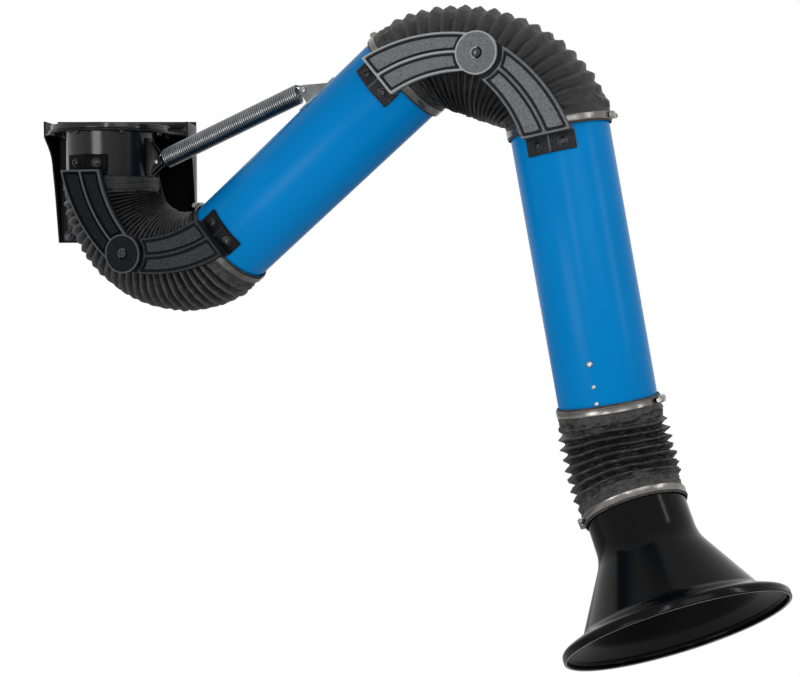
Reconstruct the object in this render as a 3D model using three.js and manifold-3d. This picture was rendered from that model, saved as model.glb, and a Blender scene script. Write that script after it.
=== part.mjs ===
// Wall-mounted fume extraction arm: bracket, swivel, boom, forearm and hood, in millimetres, +Z up.
// The origin is the centre of the wall plate's back face, and +Y points into the wall.
import * as THREE from "three";
import { mergeVertices } from "three/addons/utils/BufferGeometryUtils.js";
import Module from "manifold-3d";

const wasm = await Module();
wasm.setup();

// Driving dimensions.
const DEG = Math.PI / 180;
const GAP = 0.3;
const TUBE_R = 101.6;
const TUBE_WALL = 1.6;
const BORE_R = TUBE_R - TUBE_WALL;
const STUB = 26;
const ROUND = 32;
const FINE = 16;

// Pose of the arm as it hangs.
const SWING = 20.34 * DEG;
const BOOM_RISE = 40.07 * DEG;
const FOREARM_LEAN = 10.84 * DEG;
const HOOD_TURN = 58.1 * DEG;
const HOOD_TILT = 26.5 * DEG;

// Pivot of a link, measured from the end of its tube.
const REACH = 173.8;
const DROP = 108.5;
const BOOM_LENGTH = 534.8;
const FOREARM_LENGTH = 557.9;
const HOOD_REACH = 120.8;
const BASE_BEND = 90 * DEG + BOOM_RISE;
const ELBOW_BEND = BOOM_RISE + 90 * DEG - FOREARM_LEAN;

// Wall bracket and swivel.
const PLATE = { width: 340, height: 290, thick: 5 };
const WALL_BOLT = { sideInset: 22, endInset: 18, shank: 6, head: 9.5 };
const SWIVEL_OUT = 190;
const COLLAR_END_Z = 7;
const SHELF_EDGE = { clear: 4.4, rim: 38.4 };
const SHELF = { z: 107, thick: 5, nose: TUBE_R + SHELF_EDGE.rim, bore: TUBE_R + SHELF_EDGE.clear, side: 136 };
const GUSSET_EDGE = [[136, 141], [136, 104], [77, 65], [58, 19], [42, -33], [16, -145]];
const FLANGE_WIDTH = 20.4;
const FLANGE = { out: TUBE_R + FLANGE_WIDTH, thick: 3.5 };
const RING_EDGE = { slack: 2, wide: 11, inset: 1 };
const RING_RECESS = FLANGE.out + RING_EDGE.slack;
const RING = {
  recess: RING_RECESS, out: RING_RECESS + RING_EDGE.wide, bore: BORE_R - RING_EDGE.inset, top: 125, lip: 5.7,
};
const BEARING = { thick: 2.7 };

// Links: w is the distance from the arm's middle plane.
const LAYER = { clear: 13.4, link: 18, pocket: 6, lap: 7, proud: 3, well: 5.5 };
const LINK_INNER = TUBE_R + LAYER.clear;
const LINK_FACE = LINK_INNER + LAYER.link;
const LINK = {
  end: -13, wide: 97, narrow: 72, sweep: 39 * DEG,
  inner: LINK_INNER, face: LINK_FACE, floor: LINK_FACE - LAYER.pocket,
};
const LINK_RIB = 7;
const PAD = { width: 100, length: 35, thick: 5, tilt: 15 * DEG, wall: 10 };
const DISC = {
  r: 43, clear: 52, rim: 3, sunk: 1.5, washer: 2,
  innerTop: LINK_INNER + LAYER.lap, outerTop: LINK_FACE + LAYER.proud,
};
const PIVOT = { shank: 6, head: 11, well: 13, wellFloor: DISC.outerTop - LAYER.well, headTall: 4.5 };

// Hoses and clamps.
const FABRIC = { cuff: 4.8, valley: 4.4, crest: 9.9, lining: 0.5 };
const HOSE = {
  sides: 20, straight: 30, cuff: TUBE_R + FABRIC.cuff, bore: BORE_R - FABRIC.lining,
  valley: TUBE_R + FABRIC.valley, crest: TUBE_R + FABRIC.crest,
};
const CUFF_BORE = (TUBE_R + GAP) / Math.cos(Math.PI / HOSE.sides);
// How far a hose is pulled from a plain arc (0) towards a straight inside of the bend (1).
const BASE_TAUT = 0.4;
const ELBOW_TAUT = 0.9;
const BASE_RIBS = 26;
const ELBOW_RIBS = 19;
const HOOD_RIBS = 9;
const BAND = { thick: 1.2, width: 14, start: 4 };
const HOUSING = { long: 30, tall: 9, screw: 4, screwLong: 44 };

// Balance spring, in the arm's middle plane.
const PIN_OUT = { low: 25.4, high: 30.4 };
const PIN_LOW = [TUBE_R + PIN_OUT.low, 34];
const PIN_HIGH = [525.6, TUBE_R + PIN_OUT.high - DROP];
const PIN = { r: 5, half: 16, head: 7.5, headTall: 3 };
const SPRING = { mean: 19.7, wire: 2.3, lead: 19, curls: 68, steps: 8, sides: 5 };
const TAB = { inside: 9, fin: 4, half: 16, strap: 3.4, round: 11 };
const TAB_LOW = { from: 2, to: 88 };
const TAB_HIGH = { from: 512, to: 580, strapFrom: 490, strapTo: 595 };

// Hood and the joint inside its hose.
const HOOD = { wall: 3, neck: 77, coneEnd: 212, coneR: 179, brimEnd: 236, rimR: 228, mouth: 250, roll: 5 };
const NECK_BORE = TUBE_R - HOOD.wall;
const YOKE_SLACK = 1.7;
const YOKE = { up: 95, width: 30, thick: 3, out: BORE_R - YOKE_SLACK, bar: 12, boss: 16, bossTall: 22 };
const STEM = { r: 8, collar: 13, collarTall: 4, nutTall: 6 };
const CLEVIS = { slot: 7, cheek: 6, round: 14, pin: 6, back: 26 };
const SPIDER = { bar: 10, width: 28, at: 12 };

const FINISH = {
  black: { color: 0x1b1c1e, roughness: 0.55, metalness: 0.3 },
  casting: { color: 0x3a3c3f, roughness: 0.8, metalness: 0.2 },
  blue: { color: 0x0070b8, roughness: 0.35, metalness: 0.1 },
  hose: { color: 0x282624, roughness: 0.95, metalness: 0 },
  steel: { color: 0xc4c6c8, roughness: 0.3, metalness: 0.9 },
  zinc: { color: 0xa9a79f, roughness: 0.4, metalness: 0.8 },
  plastic: { color: 0x101113, roughness: 0.2, metalness: 0 },
  bronze: { color: 0x8a7a55, roughness: 0.5, metalness: 0.5 },
};

// Solids.

/** Closed body from a geometry, with its faces turned outwards. */
function solid(geometry) {
  const bare = new THREE.BufferGeometry();
  bare.setAttribute("position", geometry.getAttribute("position"));
  if (geometry.index) bare.setIndex(geometry.index);
  const welded = mergeVertices(bare, 1e-3);
  const points = new Float32Array(welded.getAttribute("position").array);
  const faces = [];
  const index = welded.index.array;
  for (let i = 0; i < index.length; i += 3) {
    const [a, b, c] = [index[i], index[i + 1], index[i + 2]];
    if (a !== b && b !== c && c !== a) faces.push(a, b, c);
  }
  const make = (list) =>
    new wasm.Manifold(
      new wasm.Mesh({ numProp: 3, vertProperties: points, triVerts: new Uint32Array(list) }),
    );
  const body = make(faces);
  if (body.volume() >= 0) return body;
  for (let i = 0; i < faces.length; i += 3) [faces[i + 1], faces[i + 2]] = [faces[i + 2], faces[i + 1]];
  return make(faces);
}

/** Flat-shaded geometry of a body. */
function geometryOf(body) {
  const mesh = body.getMesh();
  const indexed = new THREE.BufferGeometry();
  indexed.setAttribute("position", new THREE.BufferAttribute(new Float32Array(mesh.vertProperties), 3));
  indexed.setIndex(new THREE.BufferAttribute(new Uint32Array(mesh.triVerts), 1));
  const flat = indexed.toNonIndexed();
  flat.computeVertexNormals();
  return flat;
}

/** Body turned about X from [radius, distance along X] points; a loop that misses the axis is closed. */
function turned(profile, segments = ROUND) {
  const points = profile.map(([r, l]) => new THREE.Vector2(r, l));
  if (profile[0][0] > 0) points.push(points[0].clone());
  return solid(new THREE.LatheGeometry(points, segments).rotateZ(-90 * DEG));
}

/** Ring about X. */
const ring = (rIn, rOut, from, to, segments = ROUND) =>
  turned([[rIn, from], [rOut, from], [rOut, to], [rIn, to]], segments);

/** Cylinder about X. */
const rod = (r, from, to, segments = FINE) => turned([[0, from], [r, from], [r, to], [0, to]], segments);

/** Box between two corners. */
function box(low, high) {
  const size = high.map((value, i) => value - low[i]);
  const middle = high.map((value, i) => (value + low[i]) / 2);
  return solid(new THREE.BoxGeometry(...size).translate(...middle));
}

/** Outline extruded from one height to another; basis names the axes of outline x, outline y and height. */
function extruded(shape, from, to, basis = null) {
  const geometry = new THREE.ExtrudeGeometry(shape, {
    depth: to - from, bevelEnabled: false, curveSegments: FINE / 2,
  }).translate(0, 0, from);
  if (basis) geometry.applyMatrix4(new THREE.Matrix4().makeBasis(...basis));
  return solid(geometry);
}

const outline = (points) => new THREE.Shape(points.map(([x, y]) => new THREE.Vector2(x, y)));
const X = new THREE.Vector3(1, 0, 0);
const Y = new THREE.Vector3(0, 1, 0);
const Z = new THREE.Vector3(0, 0, 1);
const minus = (axis) => axis.clone().negate();
const ALONG_X = [Y, Z, X];

/** Copy of a body turned so that its X axis lies along Z or along -Y. */
const upright = (body) => body.rotate([0, -90, 0]);
const across = (body) => body.rotate([0, 0, -90]);

/** Named mesh added to a group, placed by a matrix if one is given. */
function add(group, name, body, finish, matrix = null) {
  const geometry = body.isBufferGeometry ? body : geometryOf(body);
  const mesh = new THREE.Mesh(geometry, new THREE.MeshStandardMaterial(FINISH[finish]));
  mesh.name = name;
  if (matrix) mesh.applyMatrix4(matrix);
  group.add(mesh);
}

// Groups that follow the joints.
const arm = new THREE.Group();
arm.name = "fume_arm";
const group = (parent, position, rotation) => {
  const made = new THREE.Group();
  made.position.set(...position);
  made.rotation.set(...rotation);
  parent.add(made);
  return made;
};
const swivel = group(arm, [0, -SWIVEL_OUT, COLLAR_END_Z], [0, 0, -SWING]);
const boom = group(swivel, [DROP, 0, -REACH], [0, -BOOM_RISE, 0]);
const forearm = group(boom, [2 * REACH + BOOM_LENGTH, 0, -2 * DROP], [0, ELBOW_BEND, 0]);
const hoodTurn = group(forearm, [REACH + FOREARM_LENGTH + HOOD_REACH, 0, DROP], [HOOD_TURN, 0, 0]);
const hood = group(hoodTurn, [0, 0, 0], [0, -HOOD_TILT, 0]);

// Each tube end has a frame: along the tube outwards, across to the inside of the bend, and sideways.
const NEAR = minus(Y);
const FAR = Y;
const END = {
  collar: { axes: [minus(Z), X], at: [0, 0, 0] },
  boomLow: { axes: [minus(X), Z], at: [REACH, 0, -DROP] },
  boomHigh: { axes: [X, minus(Z)], at: [REACH + BOOM_LENGTH, 0, -DROP] },
  forearmHigh: { axes: [minus(X), minus(Z)], at: [REACH, 0, DROP] },
  forearmLow: { axes: [X, minus(Z)], at: [REACH + FOREARM_LENGTH, 0, DROP] },
};
const frameOf = ({ axes, at }, side = NEAR) =>
  new THREE.Matrix4().makeBasis(...axes, side).setPosition(...at);

// Wall bracket.

function wallBracket() {
  const { width, height, thick } = PLATE;
  const half = width / 2;
  let body = box([-half, -thick, -height / 2], [half, 0, height / 2]);
  const edge = new THREE.SplineCurve(GUSSET_EDGE.slice(1).map(([d, z]) => new THREE.Vector2(-d, z)));
  const profile = [[-thick / 2, -height / 2], [-thick / 2, GUSSET_EDGE[0][1]],
    [-GUSSET_EDGE[0][0], GUSSET_EDGE[0][1]], ...edge.getPoints(14).map((p) => [p.x, p.y])];
  for (const side of [-half, half - thick]) {
    body = body.add(extruded(outline(profile), side, side + thick, ALONG_X));
  }
  const inside = half - thick / 2;
  const shelf = new THREE.Shape();
  shelf.moveTo(inside, -thick / 2);
  shelf.lineTo(-inside, -thick / 2);
  shelf.lineTo(-inside, -SHELF.side);
  shelf.lineTo(-SHELF.nose, -SWIVEL_OUT);
  shelf.absarc(0, -SWIVEL_OUT, SHELF.nose, Math.PI, 2 * Math.PI, false);
  shelf.lineTo(inside, -SHELF.side);
  const bore = new THREE.Path();
  bore.absarc(0, -SWIVEL_OUT, SHELF.bore, 0, 2 * Math.PI, true);
  shelf.holes.push(bore);
  body = body.add(extruded(shelf, SHELF.z, SHELF.z + SHELF.thick));
  for (const [x, z] of wallBoltPlaces()) {
    body = body.subtract(across(rod(WALL_BOLT.shank + GAP, -1, thick + 1)).translate([x, 0, z]));
  }
  return body;
}

function wallBoltPlaces() {
  const x = PLATE.width / 2 - WALL_BOLT.sideInset;
  const z = PLATE.height / 2 - WALL_BOLT.endInset;
  return [-1, 1].flatMap((i) => [-1, 1].map((k) => [i * x, k * z]));
}

/** Hexagon bolt with its washer; its shank stops short of the wall. */
function wallBolt() {
  const face = PLATE.thick + GAP;
  const { shank, head } = WALL_BOLT;
  const turnedPart = turned(
    [[0, 1], [shank, 1], [shank, face], [head + 3, face], [head + 3, face + 2], [0, face + 2]], FINE);
  return across(turnedPart.add(rod(head, face + 1, face + 9, 6)));
}

const SHELF_TOP = SHELF.z + SHELF.thick;
const FLANGE_Z = SHELF_TOP + GAP + BEARING.thick + GAP;

function swivelRing() {
  const { out, recess, top, lip, bore } = RING;
  return upright(turned([[recess, SHELF_TOP + GAP], [out, SHELF_TOP + GAP], [out, top],
    [bore, top], [bore, top - lip], [recess, top - lip]]));
}

function swivelCollar() {
  const base = FLANGE_Z - COLLAR_END_Z;
  return upright(turned([[BORE_R, -STUB], [TUBE_R, -STUB], [TUBE_R, base], [FLANGE.out, base],
    [FLANGE.out, base + FLANGE.thick], [BORE_R, base + FLANGE.thick]]));
}

// Links.

const LINK_CHORD = Math.hypot(REACH - LINK.end, DROP);
const LINK_RADIUS = LINK_CHORD / 2 / Math.sin(LINK.sweep / 2);
const LINK_START = Math.atan2(DROP, REACH - LINK.end) - LINK.sweep / 2;
const LINK_ARC = LINK_RADIUS * LINK.sweep;

/** Point of a link's middle line at t from 0 to 1, moved sideways by an offset. */
function linkPoint(t, offset) {
  const heading = LINK_START + LINK.sweep * t;
  const x = LINK.end + LINK_RADIUS * (Math.sin(heading) - Math.sin(LINK_START));
  const y = LINK_RADIUS * (Math.cos(LINK_START) - Math.cos(heading));
  return [x - offset * Math.sin(heading), y + offset * Math.cos(heading)];
}

const linkHalf = (t) => THREE.MathUtils.lerp(LINK.wide, LINK.narrow, t) / 2;

/** Closed outline between two sideways offsets, each a function of t. */
function linkOutline(from, to, low, high, steps) {
  const times = Array.from({ length: steps + 1 }, (_, i) => from + ((to - from) * i) / steps);
  return outline([...times.map((t) => linkPoint(t, low(t))),
    ...times.reverse().map((t) => linkPoint(t, high(t)))]);
}

/** Cylinder across the link at its pivot, between two heights. */
const atPivot = (r, from, to, segments = 20) =>
  upright(rod(r, from, to, segments)).translate([REACH, DROP, 0]);

/** Cast link: ribbed panel, saddle pad on the tube and half of the lapped pivot. */
function link(isOuter) {
  const { inner, face, floor, end, wide } = LINK;
  const past = -0.08;
  let body = extruded(linkOutline(past, 1, (t) => -linkHalf(t), linkHalf, 8), inner, face);
  body = body.subtract(box([end - 60, -wide, inner - 1], [end, wide, face + 1]));

  const hug = (distance, lateral) =>
    (distance - Math.abs(lateral) * Math.sin(PAD.tilt)) / Math.cos(PAD.tilt);
  const saddle = (half, top) => outline([
    [-half, hug(TUBE_R + GAP, half)], [0, hug(TUBE_R + GAP, 0)], [half, hug(TUBE_R + GAP, half)],
    ...top(half)]);
  const skin = (half) => [half, 0, -half].map((y) => [y, hug(TUBE_R + GAP + PAD.thick, y)]);
  const wall = (half) => [[half, face], [-half, face]];
  body = body.add(extruded(saddle(PAD.width / 2, skin), end - PAD.length, end + 1, ALONG_X));
  body = body.add(extruded(saddle(wide / 2, wall), end, end + PAD.wall, ALONG_X));

  const stop = 1 - (DISC.clear + (isOuter ? 0 : LINK_RIB)) / LINK_ARC;
  for (const side of [-1, 1]) {
    const pocket = linkOutline(0.1, stop, () => (side * LINK_RIB) / 2,
      (t) => side * (linkHalf(t) - LINK_RIB), 6);
    body = body.subtract(extruded(pocket, floor, face + 1));
  }

  const lap = isOuter ? [inner - 1, DISC.innerTop + DISC.washer + 2 * GAP] : [DISC.innerTop, face + 1];
  body = body.subtract(atPivot(DISC.clear, ...lap));
  body = body.add(isOuter ? atPivot(DISC.r, lap[1], DISC.outerTop) : atPivot(DISC.r, inner, lap[0]));
  body = body.subtract(atPivot(PIVOT.shank + GAP, inner - 1, DISC.outerTop + 1, FINE));
  if (!isOuter) return body;
  const dish = atPivot(DISC.r - DISC.rim, DISC.outerTop - DISC.sunk, DISC.outerTop + 1);
  return body.subtract(dish).subtract(atPivot(PIVOT.well, PIVOT.wellFloor, DISC.outerTop + 1, FINE));
}

function pivotBolt() {
  const { shank, head, wellFloor, headTall } = PIVOT;
  const seat = wellFloor + GAP;
  return upright(turned([[0, LINK.inner], [shank, LINK.inner], [shank, seat], [head, seat],
    [head, seat + headTall - 1.5], [head - 3, seat + headTall], [0, seat + headTall]], FINE));
}

const frictionDisc = () =>
  upright(ring(PIVOT.shank + GAP, DISC.r - 2, DISC.innerTop + GAP, DISC.innerTop + GAP + DISC.washer, FINE));

/** Both links of an elbow on one side, with their bolt and friction disc. */
function addElbowSide(name, sideName, side, outer, inner) {
  const outerFrame = frameOf(END[outer.end], side);
  add(outer.group, `${outer.name}_${sideName}`, link(true), "casting", outerFrame);
  add(inner.group, `${inner.name}_${sideName}`, link(false), "casting", frameOf(END[inner.end], side));
  const pivot = outerFrame.clone().multiply(new THREE.Matrix4().makeTranslation(REACH, DROP, 0));
  add(outer.group, `${name}_pivot_bolt_${sideName}`, pivotBolt(), "zinc", pivot);
  add(outer.group, `${name}_friction_disc_${sideName}`, frictionDisc(), "bronze", pivot);
}

// Hoses and clamps.

/** Ribbed hose with a bore: straight cuffs and one bend, in the frame of the tube end it starts from. */
function hose(tangent, bend, ribs, taut = 0) {
  const radius = (tangent - HOSE.straight) / Math.tan(bend / 2);
  const arc = radius * bend;
  const total = arc + 2 * HOSE.straight;
  const inside = radius - HOSE.valley;
  const place = (s) => {
    const angle = THREE.MathUtils.clamp((s - HOSE.straight) / radius, 0, bend);
    const before = Math.min(s, HOSE.straight);
    const after = Math.max(0, s - HOSE.straight - arc);
    const share = angle / bend;
    const pullX = inside * (share * Math.sin(bend) - Math.sin(angle));
    const pullY = inside * (share * (1 - Math.cos(bend)) - (1 - Math.cos(angle)));
    const x = before + radius * Math.sin(angle) + taut * pullX + after * Math.cos(angle);
    const y = radius * (1 - Math.cos(angle)) + taut * pullY + after * Math.sin(angle);
    return { x, y, angle };
  };
  const cuff = HOSE.straight - 2;
  const pitch = (total - 2 * HOSE.straight) / ribs;
  const outside = [[0, HOSE.cuff], [cuff, HOSE.cuff]];
  for (let i = 0; i < ribs; i += 1) {
    outside.push([HOSE.straight + i * pitch, HOSE.valley], [HOSE.straight + (i + 0.5) * pitch, HOSE.crest]);
  }
  outside.push([total - HOSE.straight, HOSE.valley], [total - cuff, HOSE.cuff], [total, HOSE.cuff]);
  const lining = [[total, CUFF_BORE], [total - cuff, CUFF_BORE]];
  const spans = Math.ceil(ribs / 5);
  for (let i = spans; i >= 0; i -= 1) lining.push([HOSE.straight + 2 + ((arc - 4) * i) / spans, HOSE.bore]);
  lining.push([cuff, CUFF_BORE], [0, CUFF_BORE]);

  const rings = [...outside, ...lining];
  const points = [];
  for (const [s, r] of rings) {
    const { x, y, angle } = place(s);
    for (let k = 0; k < HOSE.sides; k += 1) {
      const turn = (2 * Math.PI * k) / HOSE.sides;
      const lateral = r * Math.cos(turn);
      points.push(x - lateral * Math.sin(angle), y + lateral * Math.cos(angle), r * Math.sin(turn));
    }
  }
  return solid(skinned(points, rings.length, HOSE.sides, true));
}

/** Geometry from rings of points; closed joins the last ring to the first, else both ends are capped. */
function skinned(points, rings, sides, closed) {
  const faces = [];
  for (let i = 0; i < (closed ? rings : rings - 1); i += 1) {
    const j = (i + 1) % rings;
    for (let k = 0; k < sides; k += 1) {
      const n = (k + 1) % sides;
      faces.push(i * sides + k, i * sides + n, j * sides + n, i * sides + k, j * sides + n, j * sides + k);
    }
  }
  const last = (rings - 1) * sides;
  for (let k = 1; !closed && k < sides - 1; k += 1) faces.push(0, k + 1, k, last, last + k, last + k + 1);
  const geometry = new THREE.BufferGeometry();
  geometry.setAttribute("position", new THREE.Float32BufferAttribute(points, 3));
  geometry.setIndex(faces);
  return geometry;
}

const tangentOf = (bend) => REACH + DROP * Math.tan(bend / 2);

/** Worm-drive band clamp over a cuff, its housing at an angle round the tube. */
function clamp(angle) {
  const { thick, width, start } = BAND;
  const { long, tall, screw, screwLong } = HOUSING;
  const rIn = HOSE.cuff + GAP;
  const out = rIn + thick;
  const middle = start + width / 2;
  const lift = out + tall / 2;
  const block = box([start, out - thick / 2, -long / 2], [start + width, out + tall, long / 2]);
  const worm = upright(rod(screw, -long / 2 - 2, screwLong - long / 2, FINE / 2))
    .translate([middle, lift, 0]);
  return ring(rIn, out, start, start + width, HOSE.sides).add(block).add(worm).rotate([angle / DEG, 0, 0]);
}

// Balance spring.

/** Tab that carries a spring pin: a strap with two fins, in the middle plane as [along, out]. */
function springTab(strap, fin, pin) {
  const [px, py] = pin;
  const shape = new THREE.Shape();
  shape.moveTo(fin[0], strap.out - TAB.strap / 2);
  shape.lineTo(fin[1], strap.out - TAB.strap / 2);
  const lean = Math.atan2(py - strap.out, fin[1] - px);
  shape.lineTo(px + TAB.round * Math.sin(lean), py + TAB.round * Math.cos(lean));
  const lower = Math.atan2(py - strap.out, px - fin[0]);
  shape.absarc(px, py, TAB.round, Math.PI / 2 - lean, Math.PI / 2 + lower, false);
  const hole = new THREE.Path();
  hole.absarc(px, py, PIN.r + GAP, 0, 2 * Math.PI, true);
  shape.holes.push(hole);
  let body = extruded(outline([[strap.from, strap.out - TAB.strap], [strap.to, strap.out - TAB.strap],
    [strap.to, strap.out], [strap.from, strap.out]]), -TAB.half, TAB.half);
  for (const low of [-TAB.inside - TAB.fin, TAB.inside]) body = body.add(extruded(shape, low, low + TAB.fin));
  return body;
}

/** Riveted pin across the arm's middle plane. */
const springPin = () =>
  across(turned([[0, -PIN.half], [PIN.head, -PIN.half], [PIN.head, PIN.headTall - PIN.half],
    [PIN.r, PIN.headTall - PIN.half], [PIN.r, PIN.half], [0, PIN.half]], FINE));

/** Points of the wire from hook to hook, along x from the low pin to the high pin. */
function springLine(span) {
  const { mean, wire, lead, curls, steps } = SPRING;
  const hookR = PIN.r + wire + GAP;
  const hook = [];
  for (let i = 0; i <= 6; i += 1) {
    const angle = (-90 - 30 * i) * DEG;
    hook.push(new THREE.Vector3(hookR * Math.cos(angle), 0, hookR * Math.sin(angle)));
  }
  const line = [...hook];
  const coil = span - 2 * lead;
  for (let i = 0; i <= curls * steps; i += 1) {
    const angle = (2 * Math.PI * i) / steps;
    const along = lead + (coil * i) / (curls * steps);
    line.push(new THREE.Vector3(along, mean * Math.sin(angle), mean * Math.cos(angle)));
  }
  const far = hook.map((p) => new THREE.Vector3(span - p.x, 0, p.z)).reverse();
  return [...line, ...far];
}

/** Wire swept along a line of points. */
function wireAlong(line, r, sides) {
  const points = [];
  let normal = new THREE.Vector3(0, 1, 0);
  line.forEach((p, i) => {
    const ahead = line[Math.min(i + 1, line.length - 1)];
    const tangent = ahead.clone().sub(line[Math.max(i - 1, 0)]).normalize();
    normal = normal.addScaledVector(tangent, -normal.dot(tangent)).normalize();
    const binormal = tangent.clone().cross(normal);
    for (let k = 0; k < sides; k += 1) {
      const turn = (2 * Math.PI * k) / sides;
      const spot = p.clone().addScaledVector(normal, r * Math.cos(turn));
      points.push(...spot.addScaledVector(binormal, r * Math.sin(turn)).toArray());
    }
  });
  return solid(skinned(points, line.length, sides, false));
}

/** Least gap between two stretches of wire that aren't neighbours along the line. */
function leastGap(line, r, apart) {
  let least = Infinity;
  for (let i = 0; i < line.length; i += 1) {
    for (let j = i + apart; j < line.length; j += 1) least = Math.min(least, line[i].distanceTo(line[j]));
  }
  return least - 2 * r;
}

// Hood.

/** Moulded hood about X: neck, cone, brim and rolled rim. */
function hoodShell() {
  const { wall, neck, coneEnd, coneR, brimEnd, rimR, mouth, roll } = HOOD;
  const at = (l) => HOOD_REACH + l;
  return turned([
    [NECK_BORE, at(-STUB)], [TUBE_R, at(-STUB)], [TUBE_R, at(neck)], [coneR, at(coneEnd)],
    [rimR - roll, at(brimEnd - roll)], [rimR, at(brimEnd)], [rimR, at(mouth)],
    [rimR - roll, at(mouth)], [rimR - roll, at(brimEnd + 1)],
    [coneR - wall, at(coneEnd + wall)], [NECK_BORE, at(neck + wall / 2)],
  ]);
}

/** U-shaped bar inside the forearm's end, with a boss for the hood stem. */
function supportBar() {
  const low = STUB - 1;
  const { up, width, thick, out, bar, boss, bossTall } = YOKE;
  let body = box([low - bar, -width / 2, -out], [low, width / 2, out]);
  for (const z of [-out, out - thick]) {
    body = body.add(box([low - up - bar, -width / 2, z], [low, width / 2, z + thick]));
  }
  return body.add(rod(boss, low - bossTall, low + 2)).subtract(rod(STEM.r + GAP, low - 2 * up, low + up));
}

/** Stem that turns in the support bar, with a clevis at the tilt axis. */
function hoodStem() {
  const bossLow = STUB + 1 - HOOD_REACH;
  const { slot, cheek, round, pin, back } = CLEVIS;
  const top = bossLow - YOKE.bossTall - 2 - STEM.nutTall - 4;
  let body = turned([[0, top], [STEM.r, top], [STEM.r, bossLow + GAP], [STEM.collar, bossLow + GAP],
    [STEM.collar, bossLow + STEM.collarTall], [STEM.r, bossLow + STEM.collarTall],
    [STEM.r, -back + 2], [0, -back + 2]], FINE);
  const wide = slot + cheek;
  body = body.add(box([-back, -wide, -round], [-back + 8, wide, round]));
  for (const y of [-wide, slot]) {
    body = body.add(box([-back, y, -round], [0, y + cheek, round]));
    body = body.add(across(rod(round, -y - cheek, -y)));
  }
  return body.subtract(across(rod(pin + GAP, -wide - 1, wide + 1)));
}

const stemNut = () => {
  const seat = STUB - 1 - YOKE.bossTall - GAP;
  return rod(STEM.collar, seat - STEM.nutTall, seat, 6).subtract(rod(STEM.r + GAP, seat - 20, seat + 20));
};

/** Crossbar in the hood's neck with a lug that reaches back to the tilt axis. */
function hoodSpider() {
  const { bar, width, at } = SPIDER;
  const reach = NECK_BORE - 1.6;
  const slack = CLEVIS.slot - GAP;
  const start = HOOD_REACH + at;
  let body = box([start, -width / 2, -reach], [start + bar, width / 2, reach]);
  body = body.add(box([0, -slack, -SPIDER.width / 2 + 2], [start + 1, slack, SPIDER.width / 2 - 2]));
  body = body.add(across(rod(CLEVIS.round - 2, -slack, slack)));
  return body.subtract(across(rod(CLEVIS.pin + GAP, -slack - 1, slack + 1)));
}

const tiltPin = () => {
  const half = CLEVIS.slot + CLEVIS.cheek + GAP;
  return across(turned([[0, -half - 3], [CLEVIS.pin + 3, -half - 3], [CLEVIS.pin + 3, -half],
    [CLEVIS.pin, -half], [CLEVIS.pin, half + 2], [0, half + 2]], FINE));
};

// Assembly.

add(arm, "wall_bracket", wallBracket(), "black");
wallBoltPlaces().forEach(([x, z], i) => {
  add(arm, `wall_bolt_${i + 1}`, wallBolt().translate([x, 0, z]), "zinc");
});
add(arm, "swivel_ring", swivelRing().translate([0, -SWIVEL_OUT, 0]), "black");
const bearing = ring(SHELF.bore, FLANGE.out, SHELF_TOP + GAP, SHELF_TOP + GAP + BEARING.thick);
add(arm, "bearing_ring", upright(bearing).translate([0, -SWIVEL_OUT, 0]), "bronze");

add(swivel, "swivel_collar", swivelCollar(), "black");
for (const [sideName, side] of [["near", NEAR], ["far", FAR]]) {
  addElbowSide("base", sideName, side, { group: swivel, name: "collar_link", end: "collar" },
    { group: boom, name: "boom_lower_link", end: "boomLow" });
  addElbowSide("elbow", sideName, side, { group: boom, name: "boom_upper_link", end: "boomHigh" },
    { group: forearm, name: "forearm_link", end: "forearmHigh" });
}
const baseHose = hose(tangentOf(BASE_BEND), BASE_BEND, BASE_RIBS, BASE_TAUT);
add(swivel, "base_hose", baseHose, "hose", frameOf(END.collar));
add(swivel, "base_clamp_upper", clamp(180 * DEG), "steel", frameOf(END.collar));
add(boom, "base_clamp_lower", clamp(0), "steel", frameOf(END.boomLow));
add(boom, "elbow_clamp_upper", clamp(180 * DEG), "steel", frameOf(END.boomHigh));
const elbowHose = hose(tangentOf(ELBOW_BEND), ELBOW_BEND, ELBOW_RIBS, ELBOW_TAUT);
add(boom, "elbow_hose", elbowHose, "hose", frameOf(END.boomHigh));
add(forearm, "elbow_clamp_lower", clamp(180 * DEG), "steel", frameOf(END.forearmHigh));

const tube = (length) => ring(BORE_R, TUBE_R, REACH - STUB, REACH + length + STUB);
add(boom, "boom_tube", tube(BOOM_LENGTH).translate([0, 0, -DROP]), "blue");
add(forearm, "forearm_tube", tube(FOREARM_LENGTH).translate([0, 0, DROP]), "blue");

const tabFace = TUBE_R + GAP + TAB.strap;
const lowTab = new THREE.Matrix4().makeBasis(Z, X, Y);
const highTab = new THREE.Matrix4().makeBasis(X, Z, NEAR).setPosition(0, 0, -DROP);
add(swivel, "spring_tab_lower", springTab({ from: TAB_LOW.from, to: TAB_LOW.to, out: tabFace },
  [TAB_LOW.from, TAB_LOW.to], [PIN_LOW[1], PIN_LOW[0]]), "black", lowTab);
add(boom, "spring_tab_upper", springTab({ from: TAB_HIGH.strapFrom, to: TAB_HIGH.strapTo, out: tabFace },
  [TAB_HIGH.from, TAB_HIGH.to], [PIN_HIGH[0], PIN_HIGH[1] + DROP]), "zinc", highTab);
add(swivel, "spring_pin_lower", springPin().translate([PIN_LOW[0], 0, PIN_LOW[1]]), "zinc");
add(boom, "spring_pin_upper", springPin().translate([PIN_HIGH[0], 0, PIN_HIGH[1]]), "zinc");

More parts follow.
